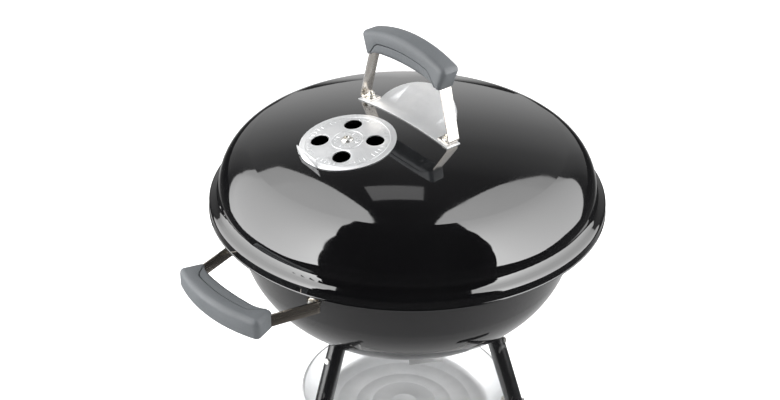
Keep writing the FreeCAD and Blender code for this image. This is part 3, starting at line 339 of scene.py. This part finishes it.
def moulded(name, tint, low, high, grains=1100.0, depth=0.35):
    """Moulded plastic with a fine spark texture and rubbed patches."""
    look = Finish(name, IOR=1.5)
    grain = look.use(FINE_TEXTURE, Scale=grains, Patches=38.0)
    marks = look.use(HAND_MARKS, Scale=22.0, Specks=420.0)
    light = tuple(part * 1.22 for part in tint)
    look.colour(grain["Height"], [(0.36, tint), (0.62, light)])
    look.rough(marks["Smear"], high, low)
    look.bump(grain["Height"], depth, 0.00025)
    return look.material


VENT_JOINT = next(j for j in frame["joints"] if j["name"] == "lid_vent_turn")
VENT_CENTRE = Vector(VENT_JOINT["pos_m"])
VENT_AXIS = Vector(VENT_JOINT["axis"])
VENT_TURN = VENT_AXIS.to_track_quat("Z", "Y").to_euler()

BLACK_ENAMEL = enamel("black enamel")
LEG_ENAMEL = leg_gloss()
LID_STRAP_STEEL = bright_steel("lid strap steel", "X")
BOWL_STRAP_STEEL = bright_steel("bowl strap steel", "Z", (0.60, 0.56, 0.51))
SHIELD_ALUMINIUM = sheet_aluminium("pressed aluminium")
VENT_ALUMINIUM = spun_aluminium("vent aluminium", VENT_CENTRE, VENT_TURN, 420.0)
BOWL_VENT_ALUMINIUM = sheet_aluminium("bowl vent aluminium", 0.25, 0.5)
PAN_ALUMINIUM = spun_aluminium("pan aluminium")
ZINC = zinc("zinc plate")
BRIGHT_ZINC = zinc("bright zinc plate", (0.78, 0.78, 0.77))
WIRE = plated_wire("plated wire")
GRIP_PLASTIC = moulded("grip plastic", (0.105, 0.113, 0.120), 0.34, 0.52)
BLACK_PLASTIC = moulded("black plastic", (0.016, 0.016, 0.017), 0.38, 0.6, 700.0, 0.5)
GREY_PLASTIC = moulded("grey plastic", (0.20, 0.215, 0.23), 0.4, 0.6)

FINISH_OF_SLOT = {
    "black_enamel": BLACK_ENAMEL,
    "handle_steel": LID_STRAP_STEEL,
    "bright_aluminium": SHIELD_ALUMINIUM,
    "zinc_steel": ZINC,
    "grip_plastic": GRIP_PLASTIC,
    "plated_wire": WIRE,
    "leg_enamel": LEG_ENAMEL,
    "black_plastic": BLACK_PLASTIC,
    "grey_plastic": GREY_PLASTIC,
}
FINISH_OF_NODE = {
    "bowl_handle_strap": BOWL_STRAP_STEEL,
    "lid_damper": VENT_ALUMINIUM,
    "lid_damper_rivet": BRIGHT_ZINC,
    "bowl_damper_1": BOWL_VENT_ALUMINIUM,
    "bowl_damper_2": BOWL_VENT_ALUMINIUM,
    "bowl_damper_3": BOWL_VENT_ALUMINIUM,
    "ash_pan": PAN_ALUMINIUM,
}


def wear(thing, material):
    thing.data.materials.clear()
    thing.data.materials.append(material)


for row in frame["record"]["subparts"]:
    node = row["node"]
    wear(NODES[node], FINISH_OF_NODE.get(node, FINISH_OF_SLOT[row["material_slot"]]))


# ---------------------------------------------------------------- mesh helpers


def finished(name, mesh, material, crease=32):
    """Turns a bmesh into an object; edges that turn more than crease degrees stay crisp."""
    data = bpy.data.meshes.new(name)
    mesh.to_mesh(data)
    mesh.free()
    data.shade_smooth()
    data.set_sharp_from_angle(angle=math.radians(crease))
    made = bpy.data.objects.new(name, data)
    bpy.context.scene.collection.objects.link(made)
    data.materials.append(material)
    return made


def piece(name, mesh, material, body, slot, *nodes):
    """A finished piece that rides on a body and stands for nodes."""
    made = finished(name, mesh, material)
    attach(made, body)
    if nodes:
        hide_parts(*nodes)
    return made


def frame_at(origin, z_axis, x_axis):
    """A matrix from an origin, a Z direction and a rough X direction."""
    z = Vector(z_axis).normalized()
    y = z.cross(Vector(x_axis)).normalized()
    matrix = Matrix((y.cross(z), y, z)).transposed().to_4x4()
    matrix.translation = Vector(origin)
    return matrix


def lathe(outline, steps=64):
    """Turns (radius, height) points, in millimetres, about Z."""
    mesh = bmesh.new()
    verts = [mesh.verts.new((radius * MM, 0, height * MM)) for radius, height in outline]
    edges = [mesh.edges.new(pair) for pair in zip(verts, verts[1:])]
    bmesh.ops.spin(mesh, geom=verts + edges, cent=(0, 0, 0), axis=(0, 0, 1),
                   angle=2 * math.pi, steps=steps, use_merge=True)
    bmesh.ops.remove_doubles(mesh, verts=mesh.verts, dist=1e-6)
    bmesh.ops.recalc_face_normals(mesh, faces=mesh.faces)
    return mesh


def block(low, high):
    """A box between two corners, in millimetres."""
    size = [(b - a) * MM for a, b in zip(low, high)]
    middle = [(a + b) / 2 * MM for a, b in zip(low, high)]
    mesh = bmesh.new()
    bmesh.ops.create_cube(mesh, size=1, matrix=Matrix.Translation(middle)
                          @ Matrix.Diagonal((*size, 1)))
    return mesh


def bevelled(mesh, edges, width, segments):
    bmesh.ops.bevel(mesh, geom=edges, offset=width * MM, offset_type="OFFSET",
                    segments=segments, profile=0.5, affect="EDGES", material=-1,
                    clamp_overlap=True)
    return mesh


def sliced(mesh, places):
    """Cuts a mesh across X at each place, in millimetres, so that it can be bent."""
    for place in places:
        geometry = mesh.verts[:] + mesh.edges[:] + mesh.faces[:]
        bmesh.ops.bisect_plane(mesh, geom=geometry, dist=1e-7, plane_co=(place * MM, 0, 0),
                               plane_no=(1, 0, 0))
    return mesh


def placed(mesh, matrix):
    bmesh.ops.transform(mesh, matrix=matrix, verts=mesh.verts)
    return mesh


def joined(meshes):
    whole = meshes[0]
    for mesh in meshes[1:]:
        data = bpy.data.meshes.new("joined part")
        mesh.to_mesh(data)
        mesh.free()
        whole.from_mesh(data)
        bpy.data.meshes.remove(data)
    return whole


def refined(node, width, segments=2, crease=35):
    """A merged copy of a node's mesh with its sharp edges rounded."""
    mesh = bmesh.new()
    mesh.from_mesh(NODES[node].data)
    bmesh.ops.remove_doubles(mesh, verts=mesh.verts, dist=2e-5)
    bmesh.ops.dissolve_limit(mesh, angle_limit=math.radians(0.5), verts=mesh.verts,
                             edges=mesh.edges)
    sharp = [edge for edge in mesh.edges
             if edge.is_manifold and edge.calc_face_angle() > math.radians(crease)]
    return bevelled(mesh, sharp, width, segments)


def smooth_step(low, high, at):
    share = min(max((at - low) / (high - low), 0.0), 1.0)
    return share * share * (3 - 2 * share)


def centres(node, count_axis=1):
    """The middles of a node's two solids, which lie on either side of the XZ plane."""
    points = [vert.co for vert in NODES[node].data.vertices]
    made = []
    for side in (-1, 1):
        half = [point for point in points if point[count_axis] * side > 0]
        low = Vector(min(point[i] for point in half) for i in range(3))
        high = Vector(max(point[i] for point in half) for i in range(3))
        made.append((low + high) / 2)
    return made


def body_of_node(node):
    bodies = frame["record"]["behaviour"]["bodies"]
    return next(name for name, nodes in bodies.items() if node in nodes)


def slot_of_node(node):
    return next(row["material_slot"] for row in frame["record"]["subparts"]
                if row["node"] == node)


def stand_in(node, mesh, material):
    """A piece that takes one node's place and rides on the node's body."""
    return piece(node + "_made", mesh, material, body_of_node(node), slot_of_node(node), node)


# ---------------------------------------------------------------- grips

ARCH_RADIUS = {"lid": 197.0, "bowl": 205.3}      # the strap's outer face under the grip
GRIP_HALF = 70.0
GRIP_WIDTH = 28.0
GRIP_RISE = 20.5
PARTING_LIFT = 4.0               # the line between the halves, above the strap
PARTING = 0.6                    # half of the gap between a grip's two halves
WRAP_START, WRAP_END = 42.0, 67.0
WRAP_DEPTH = 14.0                # how far the outer half reaches down round the strap
INNER_HALF = 62.0
INNER_DEPTH = 15.0
RIB_PITCH = 2.8
RIB_DEPTH = 1.0
RIBBED_HALF = 46.0


def wrap(at):
    return WRAP_DEPTH * smooth_step(WRAP_START, WRAP_END, abs(at))


def bent_round(mesh, radius, centre, along, out):
    """Bends a straight bar, X along it and Z outwards, round an arch."""
    across = out.cross(along)
    for vert in mesh.verts:
        at, side, lift = vert.co
        angle = at / radius
        reach = radius + lift
        vert.co = (centre + (out * math.cos(angle) + along * math.sin(angle)) * reach
                   + across * side)
    bmesh.ops.recalc_face_normals(mesh, faces=mesh.faces)
    return mesh


def grip_outer():
    rise = GRIP_RISE - PARTING_LIFT
    mesh = block((-GRIP_HALF, -GRIP_WIDTH / 2, 0), (GRIP_HALF, GRIP_WIDTH / 2, rise))
    upper = [edge for edge in mesh.edges if sum(v.co.z for v in edge.verts) > 0.3 * rise * MM]
    bevelled(mesh, upper, 6.5, 6)
    lowest = [edge for edge in mesh.edges if all(v.co.z < 1e-6 for v in edge.verts)]
    bevelled(mesh, lowest, 1.0, 2)
    sliced(mesh, [GRIP_HALF * i / 24 for i in range(-23, 24)])
    for vert in mesh.verts:
        at = vert.co.x / MM
        share = 1 - min(vert.co.z / (6 * MM), 1)
        crown = 1 - 0.10 * (at / GRIP_HALF) ** 2
        vert.co.z = vert.co.z * crown + (PARTING_LIFT + PARTING - wrap(at) * share) * MM
        vert.co.y *= 1 - 0.05 * (at / GRIP_HALF) ** 2
    return mesh


def grip_inner():
    half_width = GRIP_WIDTH / 2 - 1.2
    mesh = block((-INNER_HALF, -half_width, -INNER_DEPTH), (INNER_HALF, half_width, 0))
    lower = [edge for edge in mesh.edges
             if all(v.co.z < -0.5 * INNER_DEPTH * MM for v in edge.verts)]
    bevelled(mesh, lower, 6.0, 5)
    ribs = int(RIBBED_HALF / RIB_PITCH * 4)
    cuts = [RIB_PITCH / 4 * i for i in range(-ribs, ribs + 1)]
    outside = [RIBBED_HALF + i for i in range(1, int(INNER_HALF - RIBBED_HALF), 2)]
    sliced(mesh, cuts + outside + [-place for place in outside])
    for vert in mesh.verts:
        at = vert.co.x / MM
        share = -vert.co.z / (INNER_DEPTH * MM)
        deep = INNER_DEPTH - 4.0 * (at / INNER_HALF) ** 2
        depth = max(deep - wrap(at), 0.6) * share
        wave = 0.5 - 0.5 * math.cos(2 * math.pi * at / RIB_PITCH)
        ribbed = 1 - smooth_step(RIBBED_HALF - 6, RIBBED_HALF, abs(at))
        groove = RIB_DEPTH * wave * share * ribbed
        vert.co.z = (PARTING_LIFT - PARTING - wrap(at) - depth + groove) * MM
        vert.co.y *= 1 - 0.03 * wave * ribbed * min(share * 2, 1)
    return mesh


def grips(prefix, along, out):
    low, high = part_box(prefix + "_handle_strap")
    middle = (Vector(low) + Vector(high)) / 2
    tip = max(Vector(low).dot(out), Vector(high).dot(out))
    radius = ARCH_RADIUS[prefix] * MM
    centre = middle + out * (tip - middle.dot(out) - radius)
    for half, mesh in (("outer", grip_outer()), ("inner", grip_inner())):
        bent_round(mesh, radius, centre, along, out)
        stand_in(f"{prefix}_grip_{half}", mesh, GRIP_PLASTIC)


LID_TURN = math.radians(-2)
grips("lid", Vector((-math.sin(LID_TURN), math.cos(LID_TURN), 0)), UP)
grips("bowl", Vector((0, 1, 0)), Vector((-1, 0, 0)))


# ---------------------------------------------------------------- handles' metal

NUT_FLATS = 10.0
NUT_HEIGHT = 5.0
THREAD_PITCH = 1.0


def flange_nut():
    """A hexagon nut on a round flange, with the bolt's thread standing out of it."""
    body = bmesh.new()
    corner = NUT_FLATS / math.sqrt(3) * MM
    bmesh.ops.create_cone(body, cap_ends=True, segments=6, radius1=corner, radius2=corner,
                          depth=NUT_HEIGHT * MM)
    bevelled(body, body.edges[:], 0.45, 2)
    flange = lathe([(3.0, 1.4), (5.4, 1.4), (6.6, 0.7), (6.9, 0.3), (6.8, 0.0), (3.0, 0.0),
                    (3.0, 1.4)], 40)
    placed(flange, Matrix.Translation((0, 0, -NUT_HEIGHT / 2 * MM)))
    thread = [(3.02, NUT_HEIGHT / 2 - 0.5)]
    for turn in range(3):
        base = NUT_HEIGHT / 2 + turn * THREAD_PITCH * 0.8
        thread += [(3.02, base), (3.3, base + 0.35)]
    thread += [(3.02, NUT_HEIGHT / 2 + 2.4), thread[0]]
    return joined([body, flange, lathe(thread, 32)])


def nuts(prefix, axis_of):
    """Both nuts of a handle; axis_of gives a nut's axis from its centre."""
    made = []
    for centre in centres(prefix + "_handle_nuts"):
        made.append(placed(flange_nut(), frame_at(centre, axis_of(centre), (1, 0.2, 0.1))))
    stand_in(prefix + "_handle_nuts", joined(made), BRIGHT_ZINC)


CROWN_RADIUS = 555.4
CROWN_CENTRE = VENT_CENTRE - VENT_AXIS * CROWN_RADIUS * MM

nuts("lid", lambda centre: centre - CROWN_CENTRE)
nuts("bowl", lambda centre: Vector((centre.x, centre.y, 0)))
stand_in("lid_handle_strap", refined("lid_handle_strap", 0.35, 3), LID_STRAP_STEEL)
stand_in("bowl_handle_strap", refined("bowl_handle_strap", 0.35, 3), BOWL_STRAP_STEEL)
stand_in("lid_heat_shield", refined("lid_heat_shield", 0.3, 2), SHIELD_ALUMINIUM)


# ---------------------------------------------------------------- vents

STAMP_HEIGHT = 0.35


def dished(mesh, radius):
    """Lets a flat mesh, Z outwards, down onto a crown."""
    for vert in mesh.verts:
        vert.co.z -= (vert.co.x ** 2 + vert.co.y ** 2) / (2 * radius * MM)
    return mesh


def stamped_ring(radius, width):
    """A raised bead pressed round a disc."""
    half = width / 2
    top = STAMP_HEIGHT
    return lathe([(radius - half, 0), (radius - half / 2, top), (radius + half / 2, top),
                  (radius + half, 0)], 96)


def stamped_bars(radius, count, skip, size):
    """Short raised bars round a circle; every skip-th one is left out."""
    made = []
    long, wide = size
    for i in range(count):
        if i % skip == 0:
            continue
        bar = block((-long / 2, -wide / 2, -0.2), (long / 2, wide / 2, STAMP_HEIGHT))
        top = [edge for edge in bar.edges if any(v.co.z > 0 for v in edge.verts)]
        bevelled(bar, top, 0.25, 2)
        turn = Matrix.Rotation(2 * math.pi * i / count, 4, "Z")
        made.append(placed(bar, turn @ Matrix.Translation((radius * MM, 0, 0))))
    return made


def lid_vent():
    place = frame_at(VENT_CENTRE, VENT_AXIS, (VENT_CENTRE.x, VENT_CENTRE.y, 0))
    gap, sheet = 0.3, 1.0
    face = gap + sheet
    stamps = [stamped_ring(51.0, 1.6), stamped_ring(19.0, 1.4)]
    stamps += stamped_bars(46.0, 48, 6, (5.0, 1.3))
    stamps += stamped_bars(13.5, 16, 4, (4.0, 1.2))
    relief = dished(joined(stamps), CROWN_RADIUS)
    placed(relief, place @ Matrix.Translation((0, 0, face * MM)))
    studs = []
    for side in (-1, 1):
        stud = lathe([(0, 0.5), (0.9, 0.45), (1.3, 0.1), (1.3, -0.2)], 20)
        spot = frame_at((56.1 * MM, side * 8 * MM, 5.2 * MM), (1, 0, 0), (0, 1, 0))
        studs.append(placed(stud, place @ spot))
    disc = refined("lid_damper", 0.25, 2)
    stand_in("lid_damper", joined([disc, relief] + studs), VENT_ALUMINIUM)
    head = [(0, 2.1), (1.2, 2.0), (1.7, 1.5), (2.6, 1.5), (3.1, 2.6), (4.6, 2.5), (6.2, 1.7),
            (7.0, 0.7), (7.0, 0.15), (3.0, 0.15), (3.0, -3.4), (5.6, -3.4), (5.4, -4.3),
            (2.0, -4.9), (0, -4.9)]
    rivet = placed(lathe(head, 48), place @ Matrix.Translation((0, 0, (face + 0.1) * MM)))
    stand_in("lid_damper_rivet", rivet, BRIGHT_ZINC)


lid_vent()
for number in (1, 2, 3):
    stand_in(f"bowl_damper_{number}", refined(f"bowl_damper_{number}", 0.25, 2),
             BOWL_VENT_ALUMINIUM)


# ---------------------------------------------------------------- pan, wheels and foot


def ash_pan():
    low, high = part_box("ash_pan")
    floor_level = low[2] / MM
    rim = high[2] / MM - 2.5
    outside = [(134 + 2.5 * math.cos(turn), rim + 2.5 * math.sin(turn))
               for turn in (math.radians(angle) for angle in range(-120, 181, 30))]
    side = [(131.4, rim - 0.6), (113.2, floor_level + 5.8), (108.8, floor_level + 2.6),
            (103.1, floor_level + 1), (92.0, floor_level + 1), (91.0, floor_level + 1.5),
            (89.0, floor_level + 1.5), (88.0, floor_level + 1), (66.0, floor_level + 1),
            (65.0, floor_level + 1.4), (63.5, floor_level + 1.4), (62.5, floor_level + 1),
            (48.0, floor_level + 1), (44.6, floor_level + 2.2), (42.6, floor_level + 4),
            (20.0, floor_level + 4), (18.6, floor_level + 3.4), (17.0, floor_level + 3.4),
            (15.6, floor_level + 4), (0, floor_level + 4)]
    under = [(0, floor_level + 3), (43.0, floor_level + 3), (48.0, floor_level),
             (103.3, floor_level), (110.0, floor_level + 2.2), (114.2, floor_level + 5.8),
             (132.4, rim - 2.2)]
    mesh = lathe(outside + side + under + outside[:1], 128)
    stand_in("ash_pan", mesh, PAN_ALUMINIUM)


WHEEL_RADIUS = 75.0
WHEEL_HALF = 18.0
SPOKES = 9


def wheel(name):
    """A moulded wheel: a grooved tread, a dished web with ribs, and a long hub."""
    low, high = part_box("wheel_" + name)
    centre = (Vector(low) + Vector(high)) / 2
    side = 1 if centre.y > 0 else -1
    tread = []
    for groove in (-9, -3, 3, 9):
        tread += [(WHEEL_RADIUS, groove - 1.4), (WHEEL_RADIUS - 1.4, groove - 0.8),
                  (WHEEL_RADIUS - 1.4, groove + 0.8), (WHEEL_RADIUS, groove + 1.4)]
    outline = [(71.0, -WHEEL_HALF), (73.6, -15.2), (WHEEL_RADIUS, -13.0)] + tread
    outline += [(WHEEL_RADIUS, 13.0), (73.6, 15.2), (71.0, WHEEL_HALF), (66.0, WHEEL_HALF),
                (64.8, 16.5), (61.5, 4.5), (58.0, 2.5), (19.0, 2.5), (15.6, 4.0), (15.0, 7.0),
                (15.0, 19.6), (14.4, 20.0), (4.2, 20.0), (4.2, -20.0), (14.4, -20.0),
                (15.0, -19.6), (15.0, -7.0), (15.6, -4.0), (19.0, -2.5), (58.0, -2.5),
                (61.5, -4.5), (64.8, -16.5), (66.0, -WHEEL_HALF), (71.0, -WHEEL_HALF)]
    parts = [lathe(outline, 96)]
    for face in (-1, 1):
        for spoke in range(SPOKES):
            rib = block((23.5, -2.2, 2.0), (61.0, 2.2, 7.0))
            top = [edge for edge in rib.edges if all(v.co.z > 3 * MM for v in edge.verts)]
            bevelled(rib, top, 1.2, 3)
            flip = Matrix.Rotation(math.pi if face < 0 else 0, 4, "X")
            turn = Matrix.Rotation(2 * math.pi * spoke / SPOKES, 4, "Z")
            parts.append(placed(rib, turn @ flip))
    mesh = joined(parts)
    placed(mesh, frame_at(centre, (0, side, 0), (0, 0, 1)))
    stand_in("wheel_" + name, mesh, BLACK_PLASTIC)
    cap = [(0, 29.9), (6.0, 29.8), (7.0, 29.1), (9.0, 29.0), (14.0, 29.0), (17.6, 28.4),
           (20.6, 26.6), (21.8, 24.0), (22.0, 21.0), (22.0, 5.0), (20.6, 4.0), (15.2, 4.0),
           (15.2, 27.2), (0, 27.2)]
    placed_cap = placed(lathe(cap, 64), frame_at(centre, (0, side, 0), (0, 0, 1)))
    stand_in("hub_cap_" + name, placed_cap, GREY_PLASTIC)


ash_pan()
wheel("left")
wheel("right")
stand_in("leg_foot", refined("leg_foot", 0.8, 3), BLACK_PLASTIC)
stand_in("leg_plugs", refined("leg_plugs", 0.5, 2), BLACK_PLASTIC)
stand_in("ash_pan_clips", refined("ash_pan_clips", 0.3, 2), ZINC)


# ---------------------------------------------------------------- studio

CAMERA_AZIMUTH = -132.4
CAMERA_ELEVATION = 30.91
CAMERA_DISTANCE = 1.881
CAMERA_ROLL = 0.52
FOCAL_LENGTH = 70.2
SIDE_STEP = -0.0212              # the aim's offset along the view's horizontal
AIM_DROP = 0.0025


def turned_z(vector, degrees):
    return Matrix.Rotation(math.radians(degrees), 3, "Z") @ Vector(vector)


def camera():
    elevation = math.radians(CAMERA_ELEVATION)
    yaw = CAMERA_AZIMUTH + 90
    forward = turned_z((0, math.cos(elevation), -math.sin(elevation)), yaw)
    right = turned_z((1, 0, 0), yaw)
    up = right.cross(forward)
    roll = Matrix.Rotation(math.radians(CAMERA_ROLL), 3, forward)
    right, up = roll.inverted() @ right, roll.inverted() @ up
    data = bpy.data.cameras.new("camera")
    data.lens = FOCAL_LENGTH
    made = bpy.data.objects.new("camera", data)
    aim = turned_z((SIDE_STEP, 0, 0), yaw) + Vector((0, 0, LIP - AIM_DROP))
    matrix = Matrix((right, up, -forward)).transposed().to_4x4()
    matrix.translation = aim - forward * CAMERA_DISTANCE
    made.matrix_world = matrix
    bpy.context.scene.collection.objects.link(made)
    bpy.context.scene.camera = made


def studio_direction(azimuth, elevation):
    """A direction in the studio: 0 is to the camera's right and -90 towards it."""
    a = math.radians(azimuth)
    e = math.radians(elevation)
    level = Vector((math.cos(e) * math.cos(a), math.cos(e) * math.sin(a), math.sin(e)))
    return turned_z(level, CAMERA_AZIMUTH + 90)


def panel(name, corners, brightness, back_share=1.0):
    """A soft light sheet, from (azimuth, elevation, distance) corners about the lid.

    back_share is how bright it is at its far end behind the grill.
    """
    mesh = bmesh.new()
    middle = Vector((0, 0, LIP))
    verts = [mesh.verts.new(middle + studio_direction(a, e) * d) for a, e, d in corners]
    face = mesh.faces.new(verts)
    bmesh.ops.triangulate(mesh, faces=[face])
    material = bpy.data.materials.new(name)
    material.use_nodes = True
    tree = material.node_tree
    tree.nodes.clear()
    light = add(tree, "ShaderNodeEmission", Strength=brightness)
    place = add(tree, "ShaderNodeTexCoord").outputs["Object"]
    depth = add(tree, "ShaderNodeVectorMath", {"operation": "DOT_PRODUCT"})
    depth.inputs[1].default_value = studio_direction(90, 0)
    tree.links.new(place, depth.inputs[0])
    reach = add(tree, "ShaderNodeMapRange", From_Min=-1.6, From_Max=1.6)
    tree.links.new(depth.outputs["Value"], reach.inputs["Value"])
    fade = ramp(tree, reach.outputs["Result"], [(0.0, 1.0), (0.45, 0.66), (1.0, back_share)])
    tree.links.new(fade, light.inputs["Color"])
    out = tree.nodes.new("ShaderNodeOutputMaterial")
    tree.links.new(light.outputs[0], out.inputs[0])
    made = finished(name, mesh, material)
    made.visible_camera = False
    made.visible_shadow = False
    return made


def studio():
    panel("left_light", [(124, 38, 2.26), (140, 21, 2.32), (151, -3, 2.33), (152, -16, 2.31),
                         (165, -19, 2.0), (-175, -18, 2.0), (-156, -17, 2.1), (-138, -11, 2.4),
                         (-138, 21, 2.41), (-146, 52, 2.36), (146, 73, 2.25), (116, 73, 2.23),
                         (122, 53, 2.24)], 5.6, 0.30)
    panel("right_light", [(52, 37, 2.27), (42, 29, 2.3), (26, 8, 2.34), (22, -14, 2.32),
                          (6, -13, 2.34), (-14, -15, 2.36), (-28, -13, 2.38), (-42, -9, 2.4),
                          (-42, 22, 2.41), (-34, 52, 2.36), (-14, 69, 2.3), (51, 72, 2.23),
                          (65, 74, 2.23), (58, 64, 2.23), (55, 52, 2.24)], 5.4, 0.26)
    panel("back_strip", [(110, 61, 2.22), (81, 63, 2.22), (79, 68, 2.22), (110, 67, 2.22)],
          0.9, 0.9)


GLOW_BEHIND = 0.45               # where the floor's bright strip starts, behind the grill


def floor():
    """A pale floor. In reflections only a strip under and behind the grill is bright."""
    mesh = bmesh.new()
    bmesh.ops.create_circle(mesh, cap_ends=True, segments=96, radius=14.0)
    material = bpy.data.materials.new("pale floor")
    material.use_nodes = True
    tree = material.node_tree
    shader = tree.nodes["Principled BSDF"]
    shader.inputs["Base Color"].default_value = (0.86, 0.86, 0.86, 1)
    shader.inputs["Roughness"].default_value = 0.9
    shader.inputs["Emission Color"].default_value = (1, 1, 1, 1)
    place = add(tree, "ShaderNodeTexCoord").outputs["Object"]
    reaches = []
    for azimuth in (90, 0):
        dot = add(tree, "ShaderNodeVectorMath", {"operation": "DOT_PRODUCT"})
        dot.inputs[1].default_value = studio_direction(azimuth, 0)
        tree.links.new(place, dot.inputs[0])
        reaches.append(dot.outputs["Value"])
    in_front = add(tree, "ShaderNodeMath", {"operation": "SUBTRACT"})
    in_front.inputs[1].default_value = GLOW_BEHIND
    tree.links.new(reaches[0], in_front.inputs[0])
    ahead = add(tree, "ShaderNodeMath", {"operation": "MINIMUM"})
    ahead.inputs[1].default_value = 0.0
    tree.links.new(in_front.outputs[0], ahead.inputs[0])
    apart = add(tree, "ShaderNodeCombineXYZ")
    tree.links.new(ahead.outputs[0], apart.inputs["X"])
    tree.links.new(reaches[1], apart.inputs["Y"])
    distance = add(tree, "ShaderNodeVectorMath", {"operation": "LENGTH"})
    tree.links.new(apart.outputs[0], distance.inputs[0])
    span = add(tree, "ShaderNodeMapRange", From_Min=0.0, From_Max=2.4)
    tree.links.new(distance.outputs["Value"], span.inputs["Value"])
    dim = add(tree, "ShaderNodeEmission")
    tones = [(0.0, 0.85), (0.2, 0.7), (0.36, 0.30), (0.5, 0.05), (1.0, 0.015)]
    tree.links.new(ramp(tree, span.outputs["Result"], tones), dim.inputs["Color"])
    ray = tree.nodes.new("ShaderNodeLightPath")
    white = add(tree, "ShaderNodeMapRange", To_Min=0.38, To_Max=0.85)
    tree.links.new(ray.outputs["Is Camera Ray"], white.inputs["Value"])
    tree.links.new(white.outputs["Result"], shader.inputs["Emission Strength"])
    both = tree.nodes.new("ShaderNodeMixShader")
    out = tree.nodes["Material Output"]
    tree.links.new(ray.outputs["Is Glossy Ray"], both.inputs[0])
    tree.links.new(shader.outputs[0], both.inputs[1])
    tree.links.new(dim.outputs[0], both.inputs[2])
    tree.links.new(both.outputs[0], out.inputs["Surface"])
    finished("floor", mesh, material)


def world():
    """Black overhead and in front, brighter low down behind the grill."""
    made = bpy.data.worlds.new("studio")
    bpy.context.scene.world = made
    made.use_nodes = True
    tree = made.node_tree
    sky = tree.nodes["Background"]
    direction = add(tree, "ShaderNodeTexCoord").outputs["Generated"]
    dot = add(tree, "ShaderNodeVectorMath", {"operation": "DOT_PRODUCT"})
    dot.inputs[1].default_value = studio_direction(90, 8)
    tree.links.new(direction, dot.inputs[0])
    tones = [(0.0, 0.006), (0.5, 0.012), (0.70, 0.08), (0.84, 0.26), (0.93, 0.52), (1.0, 0.85)]
    tree.links.new(ramp(tree, dot.outputs["Value"], tones), sky.inputs["Color"])
    backdrop = add(tree, "ShaderNodeBackground", Color=(1, 1, 1, 1))
    ray = tree.nodes.new("ShaderNodeLightPath")
    both = tree.nodes.new("ShaderNodeMixShader")
    tree.links.new(ray.outputs["Is Camera Ray"], both.inputs[0])
    tree.links.new(sky.outputs[0], both.inputs[1])
    tree.links.new(backdrop.outputs[0], both.inputs[2])
    tree.links.new(both.outputs[0], tree.nodes["World Output"].inputs["Surface"])


camera()
studio()
floor()
world()
bpy.context.scene.view_settings.view_transform = "Standard"
